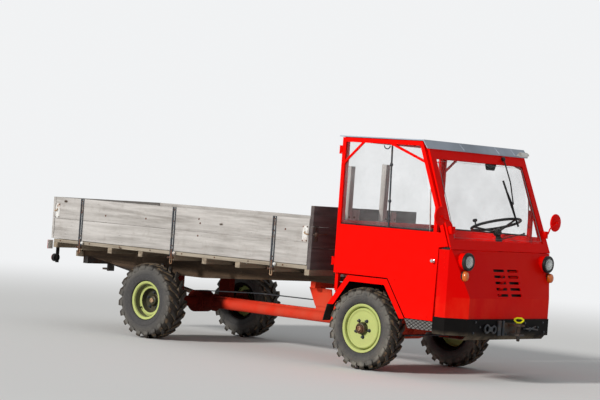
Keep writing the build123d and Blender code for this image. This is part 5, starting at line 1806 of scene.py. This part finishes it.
@dataclass(frozen=True)
class DriverPlace:
    """Bench seat, steering wheel and its stalk.

    Attributes:
        wheel_centre: Middle of the steering wheel.
        wheel_axis: The way its axis points, up to the driver.
    """

    wheel_centre: Vector
    wheel_axis: Vector

    # The steering wheel's sizes and its knob's place
    ring_radius: float = 0.235
    ring_tube: float = 0.013
    hub_drop: float = 0.095
    knob_degrees: int = 341

    def steering_wheel(self) -> None:
        """Build the ring, spokes, hub and spinner knob."""
        place = facing(self.wheel_axis, self.wheel_centre)
        ring = [
            (self.ring_radius * cos(angle), self.ring_radius * sin(angle), 0.0)
            for angle in (2 * pi * step / 48 for step in range(48))
        ]
        rim = tube("wheel_rim", ring, self.ring_tube, closed=True)
        spokes = []
        for turn in (radians(90), radians(210), radians(330)):
            end = (0.228 * cos(turn), 0.228 * sin(turn), -0.003)
            start = (0.012 * cos(turn), 0.012 * sin(turn), 0.022 - self.hub_drop)
            spokes.append(tube("wheel_spoke", [start, end], 0.0095))
        low = -self.hub_drop - 0.008
        outline = [(0, 0), (0, 0.034), (0.020, 0.041), (0.048, 0.038), (0.060, 0.024), (0.064, 0)]
        hub = spun("wheel_hub", [(low + rise, radius) for rise, radius in outline], 32)
        outline = [(-0.012, 0), (-0.012, 0.007), (0.026, 0.007), (0.030, 0.021), (0.046, 0.023), (0.054, 0.016)]
        knob_turn = radians(self.knob_degrees)
        knob_at = (self.ring_radius * cos(knob_turn), self.ring_radius * sin(knob_turn), 0.010)
        knob = moved(spun("wheel_knob", [*outline, (0.056, 0)], 20), Matrix.Translation(knob_at))
        wheel = moved(joined("driving_wheel", [rim, *spokes, hub, knob]), place)
        fit(wheel, Finish.BLACK_PLASTIC, "steering_wheel", ["steering_wheel"])

    def stalk(self) -> None:
        """Build the stalk on the column, with its ball end."""
        start = self.wheel_centre - self.wheel_axis * 0.150
        end = start + Vector((0.120, 0.235, 0.075))
        lever = tube("stalk_rod", [start, start.lerp(end, 0.4), end], 0.0045)
        outline = [(-0.011, 0), (-0.008, 0.008), (0, 0.011), (0.008, 0.008), (0.011, 0)]
        ball = moved(spun("stalk_ball", outline, 16), Matrix.Translation(end))
        outline = [(-0.020, 0.0242), (-0.020, 0.030), (0.020, 0.030), (0.020, 0.0242)]
        collar = moved(spun("stalk_collar", outline, 24), facing(self.wheel_axis, start))
        fit(joined("column_stalk", [lever, ball, collar]), Finish.BLACK_PLASTIC)

    def pad(self, name: str, low: Vector, high: Vector, crown: float) -> Piece:
        """Pad one cushion: a closed form blown up by simulation, with its sides drawn in.

        Args:
            name: The piece's name.
            low: Lowest corner of the room that it fills.
            high: Highest corner.
            crown: How far it may swell.

        Returns:
            The cushion.
        """
        inset = Vector((crown, crown, crown))
        piece = block(name, low + inset, high - inset)
        soften(piece, 0.022, 3)
        remesh = piece.modifiers.new("even_mesh", "REMESH")
        remesh.mode = "VOXEL"
        remesh.voxel_size = 0.012
        bpy.ops.object.modifier_apply(modifier=remesh.name)
        rest = [corner.co.copy() for corner in piece.data.vertices]
        cloth = piece.modifiers.new("stuffing", "CLOTH")
        cloth.settings.use_pressure = True
        cloth.settings.uniform_pressure_force = 4
        cloth.settings.effector_weights.gravity = 0
        scene = bpy.context.scene
        for frame_number in range(1, 21):
            scene.frame_set(frame_number)
        take(piece)
        bpy.ops.object.modifier_apply(modifier=cloth.name)
        scene.frame_set(1)
        for corner, start in zip(piece.data.vertices, rest):
            step = corner.co - start
            if step.length > crown:
                corner.co = start + step.normalized() * crown
        rounding = piece.modifiers.new("finer", "SUBSURF")
        rounding.levels = rounding.render_levels = 1
        bpy.ops.object.modifier_apply(modifier=rounding.name)
        bpy.ops.object.shade_smooth()
        return piece

    def seat(self) -> None:
        """Pad the bench's cushion and its back."""
        low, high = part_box("bench_seat")
        top = low.z + 0.160
        cushion = self.pad("seat_cushion", low.copy(), Vector((high.x, high.y, top)), 0.014)
        fit(cushion, Finish.SEAT_COVER, CHASSIS, ["bench_seat"])
        back = self.pad("seat_back", Vector((low.x, low.y, top)), Vector((low.x + 0.090, high.y, high.z)), 0.012)
        fit(back, Finish.SEAT_COVER)

    def build(self) -> None:
        """Build the driver's place."""
        self.steering_wheel()
        self.stalk()
        self.seat()


# Underframe


@dataclass(frozen=True)
class Underframe:
    """Rod, lamps' lenses, reflectors and beam ends under and behind the bed.

    Attributes:
        axle_x: Where the front axle is.
        rear_x: The rear end of the bed.
    """

    axle_x: float
    rear_x: float

    def build(self) -> None:
        """Build the brake rod, the tail lamps' lenses, the reflectors and the beam ends."""
        x = self.rear_x
        rod = [(-2.62, -0.180, 0.500), (-1.76, -0.205, 0.545), (-1.00, -0.205, 0.548), (-0.90, -0.205, 0.520)]
        line = eased([(self.axle_x + along, y, z) for along, y, z in rod], 0.05)
        fit(tube("brake_rod", line, 0.006), Finish.DARK_IRON)
        lens = [(0.0, 0), (0.0, 0.040), (0.005, 0.040), (0.010, 0.030), (0.012, 0)]
        for side in Side:
            word = side.word
            place = facing((-1, 0, 0), (x + 0.020, side.value * 0.738, 0.700))
            fit(moved(spun(f"tail_lens_{word}", lens, 32), place), Finish.RED_GLASS)
            near, far = span(side, 0.760, 0.828)
            backing = block(f"reflector_plate_{word}", (x + 0.004, near, 0.794), (x + 0.008, far, 0.880))
            fit(soften(backing, 0.001, 1), Finish.WHITE_ZINC)
            lens_block = block(f"reflector_{word}", (x, near - 0.003, 0.791), (x + 0.004, far + 0.003, 0.883))
            fit(soften(lens_block, 0.001, 1), Finish.RED_GLASS)
            near, far = span(side, 0.4205, 0.452)
            end = block(f"beam_end_{word}", (x + 0.042, near, 0.722), (x + 0.136, far, 0.784))
            fit(soften(end, 0.004), Finish.JOIST_WOOD)


# Stage: floor, light and camera


@dataclass(frozen=True)
class Stage:
    """Plain pale floor, soft studio light and the photograph's camera.

    Attributes:
        axle_x: Where the front axle is.
    """

    axle_x: float

    # The solved camera, then the floor's fading and the lights
    lens_pixels: float = 1991.86
    frame_width: int = 600
    reach: Point = (11.4673, -15.0331, 1.6493)
    yaw: float = radians(40.8158)
    pitch: float = radians(0.4201)
    roll: float = radians(4.1898)
    backdrop: tuple[float, ...] = (0.88, 0.89, 0.90, 1.0)
    fade_start: float = 5.0
    fade_end: float = 16.0
    sky_strength: float = 0.38
    sun_strength: float = 2.6

    def seen_share(self, tree: NodeTree) -> Socket:
        """Share, 0 or 1, of the rays that show the backdrop: straight ones, and those through glass or off gloss.

        Args:
            tree: The nodes of the floor or of the world.

        Returns:
            The share.
        """
        path = add_node(tree, "LightPath")
        share = path.outputs["Is Camera Ray"]
        for ray in ("Is Transmission Ray", "Is Glossy Ray"):
            share = add_node(tree, "Math", {0: share, 1: path.outputs[ray]}, operation="MAXIMUM").outputs["Value"]
        return share

    def floor(self) -> None:
        """Lay the floor, which fades into the backdrop far from the vehicle."""
        bpy.ops.mesh.primitive_circle_add(vertices=96, radius=140, fill_type="NGON", location=(0, 0, 0))
        ground = settle("studio_floor")
        material = bpy.data.materials.new("studio_floor")
        tree = bare_tree(material)
        matt = add_node(tree, "BsdfDiffuse", {"Color": (0.80, 0.80, 0.79, 1)}).outputs["BSDF"]
        glow = add_node(tree, "Emission", {"Color": self.backdrop}).outputs["Emission"]
        coords = add_node(tree, "TexCoord").outputs["Object"]
        length = add_node(tree, "VectorMath", {0: coords}, operation="LENGTH").outputs["Value"]
        ends = {"Value": length, "From Min": self.fade_start, "From Max": self.fade_end}
        fade = add_node(tree, "MapRange", ends, interpolation_type="SMOOTHSTEP").outputs["Result"]
        share = add_node(tree, "Math", {0: self.seen_share(tree), 1: fade}, operation="MULTIPLY").outputs["Value"]
        mix = add_node(tree, "MixShader", {0: share, 1: matt, 2: glow})
        add_node(tree, "OutputMaterial", {"Surface": mix.outputs["Shader"]})
        ground.data.materials.append(material)

    def light(self) -> None:
        """Set the pale surroundings, the broad key light and the view transform."""
        scene = bpy.context.scene
        scene.world = bpy.data.worlds.new("studio")
        tree = bare_tree(scene.world)
        lit = {"Color": (0.96, 0.98, 1.0, 1), "Strength": self.sky_strength}
        lit, seen = (add_node(tree, "Background", inputs) for inputs in (lit, {"Color": self.backdrop}))
        shaders = {1: lit.outputs["Background"], 2: seen.outputs["Background"]}
        mix = add_node(tree, "MixShader", {0: self.seen_share(tree), **shaders})
        add_node(tree, "OutputWorld", {"Surface": mix.outputs["Shader"]})
        lamp = bpy.data.lights.new("key_light", "SUN")
        lamp.energy = self.sun_strength
        lamp.angle = radians(8)
        lamp.color = (1.0, 0.98, 0.95)
        key = bpy.data.objects.new("key_light", lamp)
        scene.collection.objects.link(key)
        key.rotation_mode = "QUATERNION"
        key.rotation_quaternion = Vector((-0.18, -0.90, 0.40)).to_track_quat("Z", "Y")
        scene.view_settings.view_transform = "Standard"

    def camera(self) -> None:
        """Place the camera as it stood, turned and rolled as it was."""
        forward = Vector((-sin(self.yaw) * cos(self.pitch), cos(self.yaw) * cos(self.pitch), -sin(self.pitch)))
        level = Vector((cos(self.yaw), sin(self.yaw), 0))
        upright = level.cross(forward)
        right = cos(self.roll) * level + sin(self.roll) * upright
        above = -sin(self.roll) * level + cos(self.roll) * upright
        view = bpy.data.cameras.new("photo_camera")
        view.sensor_width = 36
        view.lens = self.lens_pixels * view.sensor_width / self.frame_width
        view.clip_start, view.clip_end = 0.1, 400
        camera = bpy.data.objects.new("photo_camera", view)
        bpy.context.scene.collection.objects.link(camera)
        turn = Matrix((right, above, -forward)).transposed().to_4x4()
        camera.matrix_world = Matrix.Translation(Vector(self.reach) + Vector((self.axle_x, 0, 0))) @ turn
        bpy.context.scene.camera = camera

    def build(self) -> None:
        """Set the whole stage."""
        self.floor()
        self.light()
        self.camera()


def dress_nodes(nodes: dict[str, Piece]) -> None:
    """Give every CAD node that stays in sight its finish.

    Args:
        nodes: The frame's nodes by name.
    """
    dressed = {
        "backbone_tube rear_axle_housing front_axle_housing front_frame bed_supports": Finish.FRAME_RED,
        "knuckle_left knuckle_right engine_block tow_hitch tow_jaw": Finish.CAST_IRON,
        "tie_rod": Finish.DARK_IRON,
        "bed_bearers": Finish.DARK_BEARERS,
        "cross_joists": Finish.JOIST_WOOD,
        "bed_hinges": Finish.RUSTY_IRON,
        "tail_lamps": Finish.BLACK_PLASTIC,
        "cab_floor cab_frame cab_rear_wall windscreen_frame door_left door_right": Finish.CAB_RED,
        "mudguards": Finish.GUARD_RED,
        "mudflaps": Finish.FLAP_RUBBER,
        "cab_glass": Finish.SCREEN_GLASS,
        "door_glass_left door_glass_right": Finish.SIDE_GLASS,
        "roof": Finish.ROOF_GREY,
        "nose_panel": Finish.NOSE_RED,
        "bumper steering_column": Finish.BLACK_PAINT,
        "steps": Finish.CHECKER_PLATE,
    }
    for names, finish in dressed.items():
        for name in names.split():
            for slot in nodes[name].material_slots:
                slot.material = finish.material
            log.info("%s takes %s", name, finish.name)


def main() -> None:
    """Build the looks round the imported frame, in order."""
    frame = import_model()
    joints = {joint["name"]: joint for joint in frame["joints"]}
    front = Vector(joints["wheel_front_right_spin"]["pos_m"])
    rear = Vector(joints["wheel_rear_right_spin"]["pos_m"])
    steering = joints["steering_wheel_turn"]
    bed_low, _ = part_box("tailboard")
    _, floor_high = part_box("bed_floor")
    dress_nodes(frame["nodes"])
    Stage(front.x).build()
    Wheels(Axle.FRONT, abs(front.y), 0.105, 0.085, 0.226, 22, 0.85).build(front.x)
    Wheels(Axle.REAR, abs(rear.y), 0.125, 0.100, 0.194, 20, 0.45).build(rear.x)
    TimberBed(bed_low.x, floor_high.x, rear.x).build()
    Cab(front.x).build()
    DriverPlace(Vector(steering["pos_m"]), Vector(steering["axis"]).normalized()).build()
    Underframe(front.x, bed_low.x).build()


if __name__ == "__main__":
    logging.basicConfig(level=logging.INFO, format="%(message)s")
    main()
